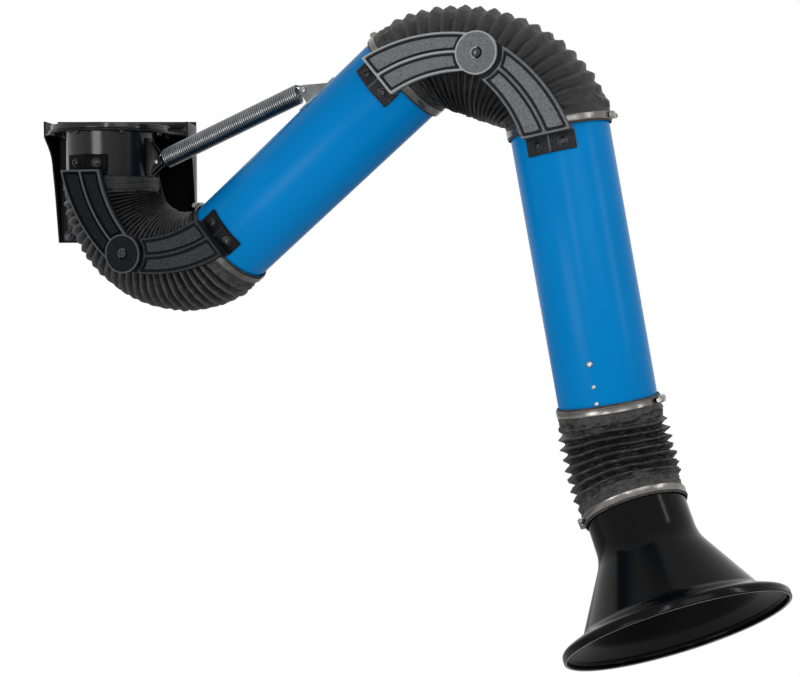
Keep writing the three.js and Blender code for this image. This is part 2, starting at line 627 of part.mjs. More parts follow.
boom.updateMatrix();
const low = new THREE.Vector3(PIN_LOW[0], 0, PIN_LOW[1]);
const reachUp = new THREE.Vector3(PIN_HIGH[0], 0, PIN_HIGH[1]).applyMatrix4(boom.matrix).sub(low);
const wireLine = springLine(reachUp.length());
console.log("least gap in the spring, mm:", leastGap(wireLine, SPRING.wire, 6).toFixed(2));
const springFrame = new THREE.Matrix4().makeRotationY(-Math.atan2(reachUp.z, reachUp.x)).setPosition(low);
add(swivel, "balance_spring", wireAlong(wireLine, SPRING.wire, SPRING.sides), "zinc", springFrame);

const forearmEnd = frameOf(END.forearmLow);
add(forearm, "hood_support_bar", supportBar(), "zinc", forearmEnd);
add(hoodTurn, "hood_stem", hoodStem(), "zinc");
add(hoodTurn, "hood_stem_nut", stemNut().translate([-HOOD_REACH, 0, 0]), "zinc");
add(hoodTurn, "hood_tilt_pin", tiltPin(), "zinc");
const hoseStart = new THREE.Matrix4().makeBasis(X, Z, minus(Y)).setPosition(-HOOD_REACH, 0, 0);
hoodTurn.updateMatrix();
add(forearm, "hood_clamp_upper", clamp(-54 * DEG), "steel", hoodTurn.matrix.clone().multiply(hoseStart));
add(hoodTurn, "hood_hose", hose(HOOD_REACH, HOOD_TILT, HOOD_RIBS), "hose", hoseStart);
add(hood, "hood_shell", hoodShell(), "plastic");
add(hood, "hood_spider", hoodSpider(), "zinc");
const neckEnd = new THREE.Matrix4().makeBasis(minus(X), minus(Z), NEAR).setPosition(HOOD_REACH, 0, 0);
add(hood, "hood_clamp_lower", clamp(72 * DEG), "steel", neckEnd);

export default arm;
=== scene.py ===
"""Dresses the fume extraction arm: castings, hoses, spring, clamps, hood, fasteners, finishes and light."""

import logging
import math
from abc import ABC, abstractmethod
from dataclasses import dataclass, field
from enum import Enum
from typing import Callable, Iterable, Optional, Sequence

import bmesh
import bpy
import numpy as np
from mathutils import Matrix, Vector


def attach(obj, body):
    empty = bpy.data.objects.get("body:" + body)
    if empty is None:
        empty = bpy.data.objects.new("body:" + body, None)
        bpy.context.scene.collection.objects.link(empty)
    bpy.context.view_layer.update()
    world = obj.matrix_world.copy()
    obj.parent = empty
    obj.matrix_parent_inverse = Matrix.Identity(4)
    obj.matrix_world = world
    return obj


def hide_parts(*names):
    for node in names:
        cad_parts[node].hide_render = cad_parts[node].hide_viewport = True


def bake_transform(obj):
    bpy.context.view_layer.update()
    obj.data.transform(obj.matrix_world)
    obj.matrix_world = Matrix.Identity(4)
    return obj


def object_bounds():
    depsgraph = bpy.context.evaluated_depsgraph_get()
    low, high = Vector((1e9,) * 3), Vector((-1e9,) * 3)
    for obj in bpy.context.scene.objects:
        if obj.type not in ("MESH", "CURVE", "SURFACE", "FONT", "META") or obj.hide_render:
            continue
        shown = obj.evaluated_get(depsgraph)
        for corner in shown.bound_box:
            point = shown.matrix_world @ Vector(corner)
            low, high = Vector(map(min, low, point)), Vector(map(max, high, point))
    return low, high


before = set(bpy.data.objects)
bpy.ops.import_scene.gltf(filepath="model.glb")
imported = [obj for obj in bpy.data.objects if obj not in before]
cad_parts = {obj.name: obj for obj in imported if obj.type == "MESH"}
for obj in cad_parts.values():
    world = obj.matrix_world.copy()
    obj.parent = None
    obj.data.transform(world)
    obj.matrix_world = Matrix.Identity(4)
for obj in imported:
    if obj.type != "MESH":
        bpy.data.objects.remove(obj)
CAD_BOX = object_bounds()

LOG = logging.getLogger("fume_arm")
Profile = Sequence[tuple[float, float]]
MM = 0.001


class Side(Enum):
    """The two sides of the arm, as the sign of the arm's own Y axis."""

    NEAR = -1
    FAR = 1


class Turn(Enum):
    """Whether a link's pivot disc laps outside or inside its partner's."""

    OUTER = "outer"
    INNER = "inner"


# Finishes


class NodeSet:
    """Short way to add and join the nodes of one tree."""

    def __init__(self, tree: bpy.types.NodeTree) -> None:
        """Keeps the tree that the nodes go into."""
        self.tree = tree

    def add(self, kind: str, inputs: Optional[dict] = None, **settings) -> bpy.types.Node:
        """Adds a node.

        Args:
            kind: The node's type name.
            inputs: Input name or number to a value, or to a socket that is linked to it.
            **settings: Properties of the node.

        Returns:
            The new node.
        """
        node = self.tree.nodes.new(kind)
        for name, value in settings.items():
            setattr(node, name, value)
        for name, value in (inputs or {}).items():
            if isinstance(value, bpy.types.NodeSocket):
                self.tree.links.new(value, node.inputs[name])
            else:
                node.inputs[name].default_value = value
        return node

    def math(self, operation: str, *values) -> bpy.types.NodeSocket:
        """Adds a Math node over numbers or sockets and returns its output."""
        return self.add("ShaderNodeMath", dict(enumerate(values)), operation=operation).outputs[0]


@dataclass(frozen=True)
class Finish(ABC):
    """A surface finish with a mottled colour, a broken gloss and a fine relief.

    Attributes:
        name: Material name.
        colour: Linear base colour.
        roughness: Lowest and highest roughness.
        mottle: How far the colour varies, as a share.
        grain: Size of the fine relief in metres.
        relief: Height of the fine relief in metres.
        slot: Material slot of the record; not used.
    """

    name: str
    colour: tuple[float, float, float]
    roughness: tuple[float, float]
    mottle: float
    grain: float
    relief: float
    slot: str

    def material(self) -> bpy.types.Material:
        """Returns the material, built the first time that it is asked for."""
        known = bpy.data.materials.get(self.name)
        if known:
            return known
        made = bpy.data.materials.new(self.name)
        made.use_nodes = True
        nodes = NodeSet(made.node_tree)
        shader = made.node_tree.nodes["Principled BSDF"]
        place = nodes.add("ShaderNodeTexCoord").outputs["Object"]
        self.dress(nodes, shader, place)
        return made

    def colour_between(self, nodes: NodeSet, shader: bpy.types.Node, share: bpy.types.NodeSocket) -> None:
        """Drives the base colour from a darker to a lighter shade by a socket from 0 to 1."""
        ramp = nodes.add("ShaderNodeValToRGB", {"Fac": share})
        for element, scale in zip(ramp.color_ramp.elements, (1 - self.mottle, 1 + self.mottle)):
            element.color = (*(min(1.0, c * scale) for c in self.colour), 1)
        ramp.color_ramp.elements[0].position = 0.3
        ramp.color_ramp.elements[1].position = 0.7
        nodes.tree.links.new(ramp.outputs["Color"], shader.inputs["Base Color"])

    def gloss_between(self, nodes: NodeSet, shader: bpy.types.Node, share: bpy.types.NodeSocket) -> None:
        """Drives the roughness over its range by a socket from 0 to 1."""
        low, high = self.roughness
        spread = nodes.add("ShaderNodeMapRange", {"Value": share, "To Min": low, "To Max": high})
        nodes.tree.links.new(spread.outputs["Result"], shader.inputs["Roughness"])

    def raise_relief(self, nodes: NodeSet, shader: bpy.types.Node, height: bpy.types.NodeSocket) -> None:
        """Adds the fine relief from a socket from 0 to 1."""
        bump = nodes.add("ShaderNodeBump", {"Height": height, "Distance": self.relief, "Strength": 1.0})
        nodes.tree.links.new(bump.outputs["Normal"], shader.inputs["Normal"])

    @abstractmethod
    def dress(self, nodes: NodeSet, shader: bpy.types.Node, place: bpy.types.NodeSocket) -> None:
        """Fills the material's tree."""


@dataclass(frozen=True)
class Paint(Finish):
    """Sprayed paint with a slight orange peel, and powder coat where the grain is coarse."""

    shine: float = 0.5

    def dress(self, nodes: NodeSet, shader: bpy.types.Node, place: bpy.types.NodeSocket) -> None:
        """Fills the material's tree."""
        cloud = nodes.add("ShaderNodeTexNoise", {"Vector": place, "Scale": 6.0, "Detail": 3.0})
        peel = nodes.add("ShaderNodeTexNoise", {"Vector": place, "Scale": 1 / self.grain, "Detail": 2.0})
        self.colour_between(nodes, shader, cloud.outputs["Fac"])
        self.gloss_between(nodes, shader, peel.outputs["Fac"])
        self.raise_relief(nodes, shader, peel.outputs["Fac"])
        shader.inputs["Specular IOR Level"].default_value = self.shine


@dataclass(frozen=True)
class PowderCoat(Finish):
    """Stippled powder coat, black painted shade where the shading mark is 1 and a pale painted highlight where it is
    -1.
    """

    # The first colour is a painted highlight on rib tops and disc rims; the second is painted shade in moats, wells and
    # undersides.
    rubbed: tuple[float, float, float] = (0.32, 0.325, 0.335)
    hollow: tuple[float, float, float] = (0.003, 0.003, 0.0035)
    shine: float = 0.18

    def dress(self, nodes: NodeSet, shader: bpy.types.Node, place: bpy.types.NodeSocket) -> None:
        """Fills the material's tree."""
        stipple = nodes.add("ShaderNodeTexVoronoi", {"Vector": place, "Scale": 1 / self.grain})
        blotch = nodes.add("ShaderNodeTexNoise", {"Vector": place, "Scale": 1 / self.grain, "Detail": 2.0})
        height = nodes.math("SUBTRACT", blotch.outputs["Fac"], nodes.math("MULTIPLY", stipple.outputs["Distance"], 0.5))
        # Reads each point's mark of painted shade (up to 1) and painted highlight (down to -1).
        recess = nodes.add("ShaderNodeAttribute", attribute_name="recess").outputs["Fac"]
        level = nodes.math("ADD", nodes.math("MULTIPLY", height, 0.9), 0.25)
        ramp = nodes.add("ShaderNodeValToRGB", {"Fac": nodes.math("SUBTRACT", level, nodes.math("MULTIPLY", recess, 0.5))})
        dark, pale = ([c * (1 + sign * self.mottle) for c in self.colour] for sign in (-1, 1))
        stops = ramp.color_ramp.elements
        stops[0].position, stops[1].position = 0.1, 0.9
        stops[0].color, stops[1].color = (*self.hollow, 1), (*self.rubbed, 1)
        for position, colour in ((0.4, dark), (0.6, pale)):
            stops.new(position).color = (*colour, 1)
        nodes.tree.links.new(ramp.outputs["Color"], shader.inputs["Base Color"])
        self.gloss_between(nodes, shader, stipple.outputs["Distance"])
        self.raise_relief(nodes, shader, height)
        shader.inputs["Specular IOR Level"].default_value = self.shine


@dataclass(frozen=True)
class Metal(Finish):
    """Bare or plated metal with drawn streaks along one axis."""

    stretch: tuple[float, float, float] = (1.0, 1.0, 1.0)

    def dress(self, nodes: NodeSet, shader: bpy.types.Node, place: bpy.types.NodeSocket) -> None:
        """Fills the material's tree."""
        spun = nodes.add("ShaderNodeMapping", {"Vector": place, "Scale": self.stretch}).outputs["Vector"]
        streak = nodes.add("ShaderNodeTexNoise", {"Vector": spun, "Scale": 1 / self.grain, "Detail": 3.0})
        cloud = nodes.add("ShaderNodeTexNoise", {"Vector": place, "Scale": 40.0, "Detail": 4.0})
        self.colour_between(nodes, shader, cloud.outputs["Fac"])
        self.gloss_between(nodes, shader, streak.outputs["Fac"])
        self.raise_relief(nodes, shader, streak.outputs["Fac"])
        shader.inputs["Metallic"].default_value = 1.0


@dataclass(frozen=True)
class Cloth(Finish):
    """Coated fabric with a plain weave and creases, with a painted highlight on the crests of its ribs and painted
    shade in their valleys.
    """

    def dress(self, nodes: NodeSet, shader: bpy.types.Node, place: bpy.types.NodeSocket) -> None:
        """Fills the material's tree."""
        crease = nodes.add("ShaderNodeTexNoise", {"Vector": place, "Scale": 70.0, "Detail": 7.0, "Roughness": 0.7})
        crest = nodes.add("ShaderNodeAttribute", attribute_name="crest").outputs["Fac"]
        weave = []
        for direction in ("X", "Y", "Z"):
            wave = nodes.add("ShaderNodeTexWave", {"Vector": place, "Scale": 0.16 / self.grain, "Distortion": 1.5},
                             bands_direction=direction)
            weave.append(wave.outputs["Fac"])
        cross = nodes.math("MULTIPLY", nodes.math("ADD", weave[0], weave[1]), weave[2])
        height = nodes.math("ADD", nodes.math("MULTIPLY", cross, 0.25), crease.outputs["Fac"])
        # Painted rib highlight and valley shade, plus random mottle from the creases.
        rib_light_and_mottle = nodes.math("ADD", nodes.math("MULTIPLY", crest, 0.5), crease.outputs["Fac"])
        self.colour_between(nodes, shader, nodes.math("SUBTRACT", rib_light_and_mottle, 0.06))
        self.gloss_between(nodes, shader, crease.outputs["Fac"])
        self.raise_relief(nodes, shader, height)
        shader.inputs["Specular IOR Level"].default_value = 0.35


BLUE = Paint("blue_duct_paint", (0.0, 0.19, 0.5), (0.24, 0.3), 0.04, 0.0025, 0.00002, "duct_blue", shine=0.05)
BLACK = Paint("satin_black_paint", (0.005, 0.005, 0.0055), (0.2, 0.3), 0.2, 0.0018, 0.00003, "bracket_black", shine=0.12)
GLOSS = Paint("gloss_black_paint", (0.005, 0.005, 0.0055), (0.16, 0.22), 0.2, 0.0018, 0.00002, "bracket_black", shine=0.32)
CASTING = PowderCoat("stippled_powder_coat", (0.14, 0.147, 0.16), (0.42, 0.62), 0.4, 0.0014, 0.00025, "link_casting")
# Shaded copies of the powder coat, darkened as painted shade for links that the lamps light less.
SHADED_CASTING = PowderCoat("dark_powder_coat", (0.032, 0.034, 0.038), (0.42, 0.62), 0.6, 0.0014, 0.00025, "link_casting",
                          rubbed=(0.12, 0.123, 0.13), shine=0.1)
DEEP_SHADED_CASTING = PowderCoat("black_powder_coat", (0.008, 0.009, 0.011), (0.4, 0.6), 0.5, 0.0014, 0.0002, "link_casting",
                           rubbed=(0.085, 0.087, 0.092), shine=0.04)
FABRIC = Cloth("coated_fabric", (0.0135, 0.0133, 0.013), (0.36, 0.62), 0.8, 0.0011, 0.001, "hose_fabric")
STAINLESS = Metal("stainless_band", (0.17, 0.167, 0.155), (0.2, 0.34), 0.25, 0.002, 0.00003, "clamp_steel",
                  stretch=(1.0, 1.0, 6.0))
# Lighter copy of the coated fabric, as painted light for the base and hood hoses.
LIT_FABRIC = Cloth("dusty_fabric", (0.036, 0.036, 0.0365), (0.36, 0.62), 0.85, 0.0011, 0.001, "hose_fabric")
HEM = Cloth("hemmed_fabric", (0.016, 0.016, 0.016), (0.36, 0.62), 0.8, 0.0011, 0.001, "clamp_steel")
ZINC = Metal("zinc_plate", (0.3, 0.305, 0.3), (0.24, 0.38), 0.15, 0.004, 0.00003, "zinc_steel")
SPRING_STEEL = Metal("oiled_spring_steel", (0.18, 0.19, 0.195), (0.16, 0.28), 0.2, 0.004, 0.00003, "zinc_steel")
DARK_STEEL = Metal("blackened_steel", (0.035, 0.035, 0.037), (0.3, 0.45), 0.2, 0.003, 0.00003, "zinc_steel")
HOOD_BLACK = Paint("moulded_black", (0.002, 0.002, 0.0023), (0.12, 0.2), 0.15, 0.004, 0.00002, "hood_plastic", shine=0.09)
# Pale paint for the hood's lip bead, a painted highlight along the rim.
LIP_HIGHLIGHT = Paint("worn_lip", (0.3, 0.3, 0.29), (0.25, 0.4), 0.3, 0.004, 0.00002, "hood_plastic")
SLIP = Paint("slip_plastic", (0.3, 0.28, 0.22), (0.45, 0.6), 0.08, 0.003, 0.00003, "slip_plastic")


# Layout of the arm


@dataclass(frozen=True)
class Layout:
    """Where the arm's groups stand at rest, in metres and degrees, in the row frame."""

    swivel_out: float = 0.190
    collar_end_z: float = 0.007
    swing: float = 20.34
    boom_rise: float = 40.07
    forearm_lean: float = 10.84
    turn: float = 58.1
    tilt: float = 26.5
    reach: float = 0.1738
    drop: float = 0.1085
    boom_length: float = 0.5348
    forearm_length: float = 0.5579
    hood_reach: float = 0.1208
    tube_r: float = 0.1016
    tube_wall: float = 0.0016
    stub: float = 0.026

    @staticmethod
    def spin(angle: float, axis: str) -> Matrix:
        """Returns a turn in degrees about an axis."""
        return Matrix.Rotation(math.radians(angle), 4, axis)

    @property
    def base_bend(self) -> float:
        """Bend of the base hose, in degrees."""
        return 90 + self.boom_rise

    @property
    def elbow_bend(self) -> float:
        """Bend of the elbow hose, in degrees."""
        return self.boom_rise + 90 - self.forearm_lean

    @property
    def swivel(self) -> Matrix:
        """Frame of the swivel, at the collar's lower end."""
        return Matrix.Translation((0, -self.swivel_out, self.collar_end_z)) @ self.spin(-self.swing, "Z")

    @property
    def boom(self) -> Matrix:
        """Frame of the boom, at its lower pivot."""
        return self.swivel @ Matrix.Translation((self.drop, 0, -self.reach)) @ self.spin(-self.boom_rise, "Y")

    @property
    def forearm(self) -> Matrix:
        """Frame of the forearm, at the elbow's pivot."""
        pivot = (2 * self.reach + self.boom_length, 0, -2 * self.drop)
        return self.boom @ Matrix.Translation(pivot) @ self.spin(self.elbow_bend, "Y")

    @property
    def hood_turn(self) -> Matrix:
        """Frame of the hood's stem, at the tilt axis."""
        pivot = (self.reach + self.forearm_length + self.hood_reach, 0, self.drop)
        return self.forearm @ Matrix.Translation(pivot) @ self.spin(self.turn, "X")

    @property
    def hood(self) -> Matrix:
        """Frame of the hood, at the tilt axis, with X along the hood."""
        return self.hood_turn @ self.spin(-self.tilt, "Y")


ARM = Layout()
X, Y, Z = (Vector(axis) for axis in ((1, 0, 0), (0, 1, 0), (0, 0, 1)))


def tube_end(parent: Matrix, axial: Vector, lateral: Vector, at: Sequence[float], side: Side = Side.NEAR) -> Matrix:
    """Frame of a tube end: X out of the tube, Y to the inside of the bend and Z to one side.

    Args:
        parent: Frame of the group that the tube is in.
        axial: Direction out of the tube, in that group.
        lateral: Direction to the inside of the bend.
        at: Place of the tube's end.
        side: Side of the arm that Z points to.

    Returns:
        The frame, which mirrors on one of the two sides.
    """
    columns = Matrix((axial, lateral, Y * side.value)).transposed().to_4x4()
    return parent @ Matrix.Translation(at) @ columns


def end_frames(side: Side = Side.NEAR) -> dict[str, Matrix]:
    """Returns the frames of the four link-carrying tube ends on one side."""
    reach, drop = ARM.reach, ARM.drop
    return {
        "collar": tube_end(ARM.swivel, -Z, X, (0, 0, 0), side),
        "boom_low": tube_end(ARM.boom, -X, Z, (reach, 0, -drop), side),
        "boom_high": tube_end(ARM.boom, X, -Z, (reach + ARM.boom_length, 0, -drop), side),
        "forearm_high": tube_end(ARM.forearm, -X, -Z, (reach, 0, drop), side),
    }


# Meshes


class Shape:
    """Points and faces collected for one piece."""

    def __init__(self) -> None:
        """Starts with nothing."""
        self.points: list[tuple[float, float, float]] = []
        self.faces: list[tuple[int, ...]] = []
        # Painted shade mark of each point: 1 is full painted shade, -1 a painted highlight.
        self.recess: dict[int, float] = {}

    def skin(self, rings: np.ndarray, loop: bool = False, caps: bool = True,
             recess: Optional[np.ndarray] = None) -> "Shape":
        """Joins rings of points, each closed round.

        Args:
            rings: Array of ring, point and coordinate.
            loop: Whether the last ring joins the first.
            caps: Whether the first and last rings are filled.
            recess: Painted shade mark of each point, from -1 for a painted highlight to 1 for full painted shade.

        Returns:
            This shape.
        """
        count, sides, _ = rings.shape
        base = len(self.points)
        self.points.extend(map(tuple, rings.reshape(-1, 3)))
        if recess is not None:
            self.recess.update(enumerate(recess.ravel().tolist(), base))
        for i in range(count if loop else count - 1):
            j = (i + 1) % count
            for k in range(sides):
                n = (k + 1) % sides
                self.faces.append((base + i * sides + k, base + i * sides + n, base + j * sides + n, base + j * sides + k))
        if caps and not loop:
            last = base + (count - 1) * sides
            self.faces.append(tuple(range(base + sides - 1, base - 1, -1)))
            self.faces.append(tuple(range(last, last + sides)))
        return self

    def turned(self, profile: Profile, sides: int = 96, axis: str = "X", at: Sequence[float] = (0, 0, 0),
               recess: Optional[Sequence[float]] = None) -> "Shape":
        """Adds a closed profile of (radius, distance) turned about an axis through a point.

        Args:
            profile: Points of the profile.
            sides: Number of sides.
            axis: Name of the axis.
            at: Point that the axis passes through.
            recess: Painted shade mark of each point of the profile.

        Returns:
            This shape.
        """
        angle = np.linspace(0, 2 * math.pi, sides, endpoint=False)
        rings = []
        for radius, along in profile:
            a, b = radius * np.cos(angle), radius * np.sin(angle)
            c = np.full(sides, along)
            rings.append(np.stack({"X": (c, a, b), "Y": (b, c, a), "Z": (a, b, c)}[axis], axis=1) + np.array(at))
        marks = None if recess is None else np.repeat(np.array(recess, float)[:, None], sides, axis=1)
        return self.skin(np.array(rings), loop=profile[0][0] > 1e-9, recess=marks)

    def bar(self, outline: Profile, start: float, end: float, edge: float, recess: float = 0.0) -> "Shape":
        """Adds an outline in Y and Z drawn out along X, with its two ends eased by an edge.

        Args:
            outline: Points of the closed outline.
            start: Where it starts.
            end: Where it ends.
            edge: Width of the eased ends.
            recess: Painted shade mark of its points.

        Returns:
            This shape.
        """
        flat = np.array(outline, float)
        ahead, behind = np.roll(flat, -1, 0) - flat, flat - np.roll(flat, 1, 0)
        unit = lambda v: v / np.linalg.norm(v, axis=1, keepdims=True)
        tangent = unit(unit(ahead) + unit(behind))
        area = np.sum(flat[:, 0] * np.roll(flat[:, 1], -1) - np.roll(flat[:, 0], -1) * flat[:, 1])
        inward = np.stack((-tangent[:, 1], tangent[:, 0]), 1) * np.sign(area)
        rings = []
        for x, inset in ((start, edge), (start + 0.3 * edge, 0.3 * edge), (start + edge, 0.0),
                         (end - edge, 0.0), (end - 0.3 * edge, 0.3 * edge), (end, edge)):
            moved = flat + inward * inset
            rings.append(np.column_stack((np.full(len(flat), x), moved)))
        rings = np.array(rings)
        return self.skin(rings, recess=np.full(rings.shape[:2], recess))

    def object(self, name: str, matrix: Matrix, sharp: float = 35.0) -> bpy.types.Object:
        """Makes the object, with its place in its mesh.

        Args:
            name: Name of the piece.
            matrix: Frame that the points are in.
            sharp: Angle in degrees past which an edge stays sharp.

        Returns:
            The new object, linked to the scene.
        """
        mesh = bpy.data.meshes.new(name)
        mesh.from_pydata(self.points, [], self.faces)
        mesh.transform(matrix)
        # Stores the painted shade and highlight mark for the powder coat.
        if self.recess:
            depth = mesh.attributes.new("recess", "FLOAT", "POINT")
            depth.data.foreach_set("value", [self.recess.get(i, 0.0) for i in range(len(self.points))])
        return settled(mesh, name, sharp)


def settled(mesh: bpy.types.Mesh, name: str, sharp: float = 35.0) -> bpy.types.Object:
    """Merges doubles, turns the faces outwards, smooths a mesh and links an object for it."""
    work = bmesh.new()
    work.from_mesh(mesh)
    bmesh.ops.remove_doubles(work, verts=work.verts, dist=1e-6)
    bmesh.ops.recalc_face_normals(work, faces=work.faces)
    work.to_mesh(mesh)
    work.free()
    mesh.shade_smooth()
    mesh.set_sharp_from_angle(angle=math.radians(sharp))
    made = bpy.data.objects.new(name, mesh)
    bpy.context.scene.collection.objects.link(made)
    return made


def eased(corners: Profile, radius: float, steps: int = 3, wide: Optional[dict[int, float]] = None) -> list[tuple[float, float]]:
    """Rounds the corners of a closed outline.

    Args:
        corners: Corner points in order.
        radius: Length taken off each side of a corner.
        steps: Segments in each round.
        wide: Corner number to a length of its own.

    Returns:
        Points of the rounded outline.
    """
    made: list[tuple[float, float]] = []
    count = len(corners)
    for i, corner in enumerate(corners):
        here = Vector(corner)
        before, after = Vector(corners[i - 1]) - here, Vector(corners[(i + 1) % count]) - here
        cut = (wide or {}).get(i, radius)
        cut_in = here + before.normalized() * min(cut, before.length * 0.45)
        cut_out = here + after.normalized() * min(cut, after.length * 0.45)
        for k in range(steps + 1):
            t = k / steps
            made.append(tuple(cut_in * (1 - t) ** 2 + here * 2 * t * (1 - t) + cut_out * t * t))
    return made


def refined(node: str, edge: float, segments: int = 2) -> bpy.types.Object:
    """Copies a CAD node with its edges eased.

    Args:
        node: Name of the node.
        edge: Width of the eased edge in metres.
        segments: Segments across it.

    Returns:
        The new object.
    """
    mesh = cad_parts[node].data.copy()
    work = bmesh.new()
    work.from_mesh(mesh)
    bmesh.ops.remove_doubles(work, verts=work.verts, dist=1e-5)
    bmesh.ops.dissolve_limit(work, angle_limit=math.radians(1.0), verts=work.verts, edges=work.edges)
    crisp = [e for e in work.edges if e.is_manifold and e.calc_face_angle(0) > math.radians(28)]
    bmesh.ops.bevel(work, geom=crisp, offset=edge, segments=segments, affect="EDGES", profile=0.5, clamp_overlap=True)
    work.to_mesh(mesh)
    work.free()
    return settled(mesh, f"{node}_dressed")


def dressed(piece: bpy.types.Object, finish: Finish, body: Optional[str] = None,
            stands_for: Iterable[str] = ()) -> bpy.types.Object:
    """Gives a piece its finish and its body.

    Args:
        piece: The piece.
        finish: Its finish.
        body: Body that it rides on, or nothing to leave it without one.
        stands_for: CAD nodes that it replaces.

    Returns:
        The piece.
    """
    piece.data.materials.clear()
    piece.data.materials.append(finish.material())
    if body:
        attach(piece, body)
    nodes = tuple(stands_for)
    if nodes:
        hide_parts(*nodes)
    LOG.info("%s: %d faces", piece.name, len(piece.data.polygons))
    return piece


# Geometry Nodes


class Tree:
    """A Geometry Nodes tree whose inputs have names."""

    def __init__(self, name: str, inputs: dict[str, str]) -> None:
        """Makes the tree.

        Args:
            name: Name of the tree.
            inputs: Input name to the kind of its socket.
        """
        self.tree = bpy.data.node_groups.new(name, "GeometryNodeTree")
        self.nodes = NodeSet(self.tree)
        face = self.tree.interface
        face.new_socket("Geometry", in_out="INPUT", socket_type="NodeSocketGeometry")
        self.keys = {}
        for label, kind in inputs.items():
            self.keys[label] = face.new_socket(label, in_out="INPUT", socket_type=kind).identifier
        face.new_socket("Geometry", in_out="OUTPUT", socket_type="NodeSocketGeometry")
        self.inside = self.tree.nodes.new("NodeGroupInput")

    def end(self, geometry: bpy.types.NodeSocket) -> None:
        """Realizes the geometry, gives it the Finish input and sends it out."""
        real = self.nodes.add("GeometryNodeRealizeInstances", {"Geometry": geometry})
        smooth = self.nodes.add("GeometryNodeSetShadeSmooth", {"Geometry": real.outputs["Geometry"]})
        done = self.nodes.add("GeometryNodeSetMaterial", {
            "Geometry": smooth.outputs["Geometry"], "Material": self.inside.outputs["Finish"]})
        self.nodes.add("NodeGroupOutput", {"Geometry": done.outputs["Geometry"]})

    def grown(self, source: bpy.types.Object, name: str, values: dict) -> bpy.types.Object:
        """Runs the tree on an object and turns the result into a plain mesh.

        Args:
            source: Curve or mesh that the tree starts from; it is removed.
            name: Name of the new piece.
            values: Input name to value.

        Returns:
            The new object, with no modifier.
        """
        modifier = source.modifiers.new(name, "NODES")
        modifier.node_group = self.tree
        for label, value in values.items():
            modifier[self.keys[label]] = value
        seen = source.evaluated_get(bpy.context.evaluated_depsgraph_get())
        mesh = bpy.data.meshes.new_from_object(seen)
        source.modifiers.remove(modifier)
        bpy.data.objects.remove(source)
        mesh.name = name
        made = bpy.data.objects.new(name, mesh)
        bpy.context.scene.collection.objects.link(made)
        return made


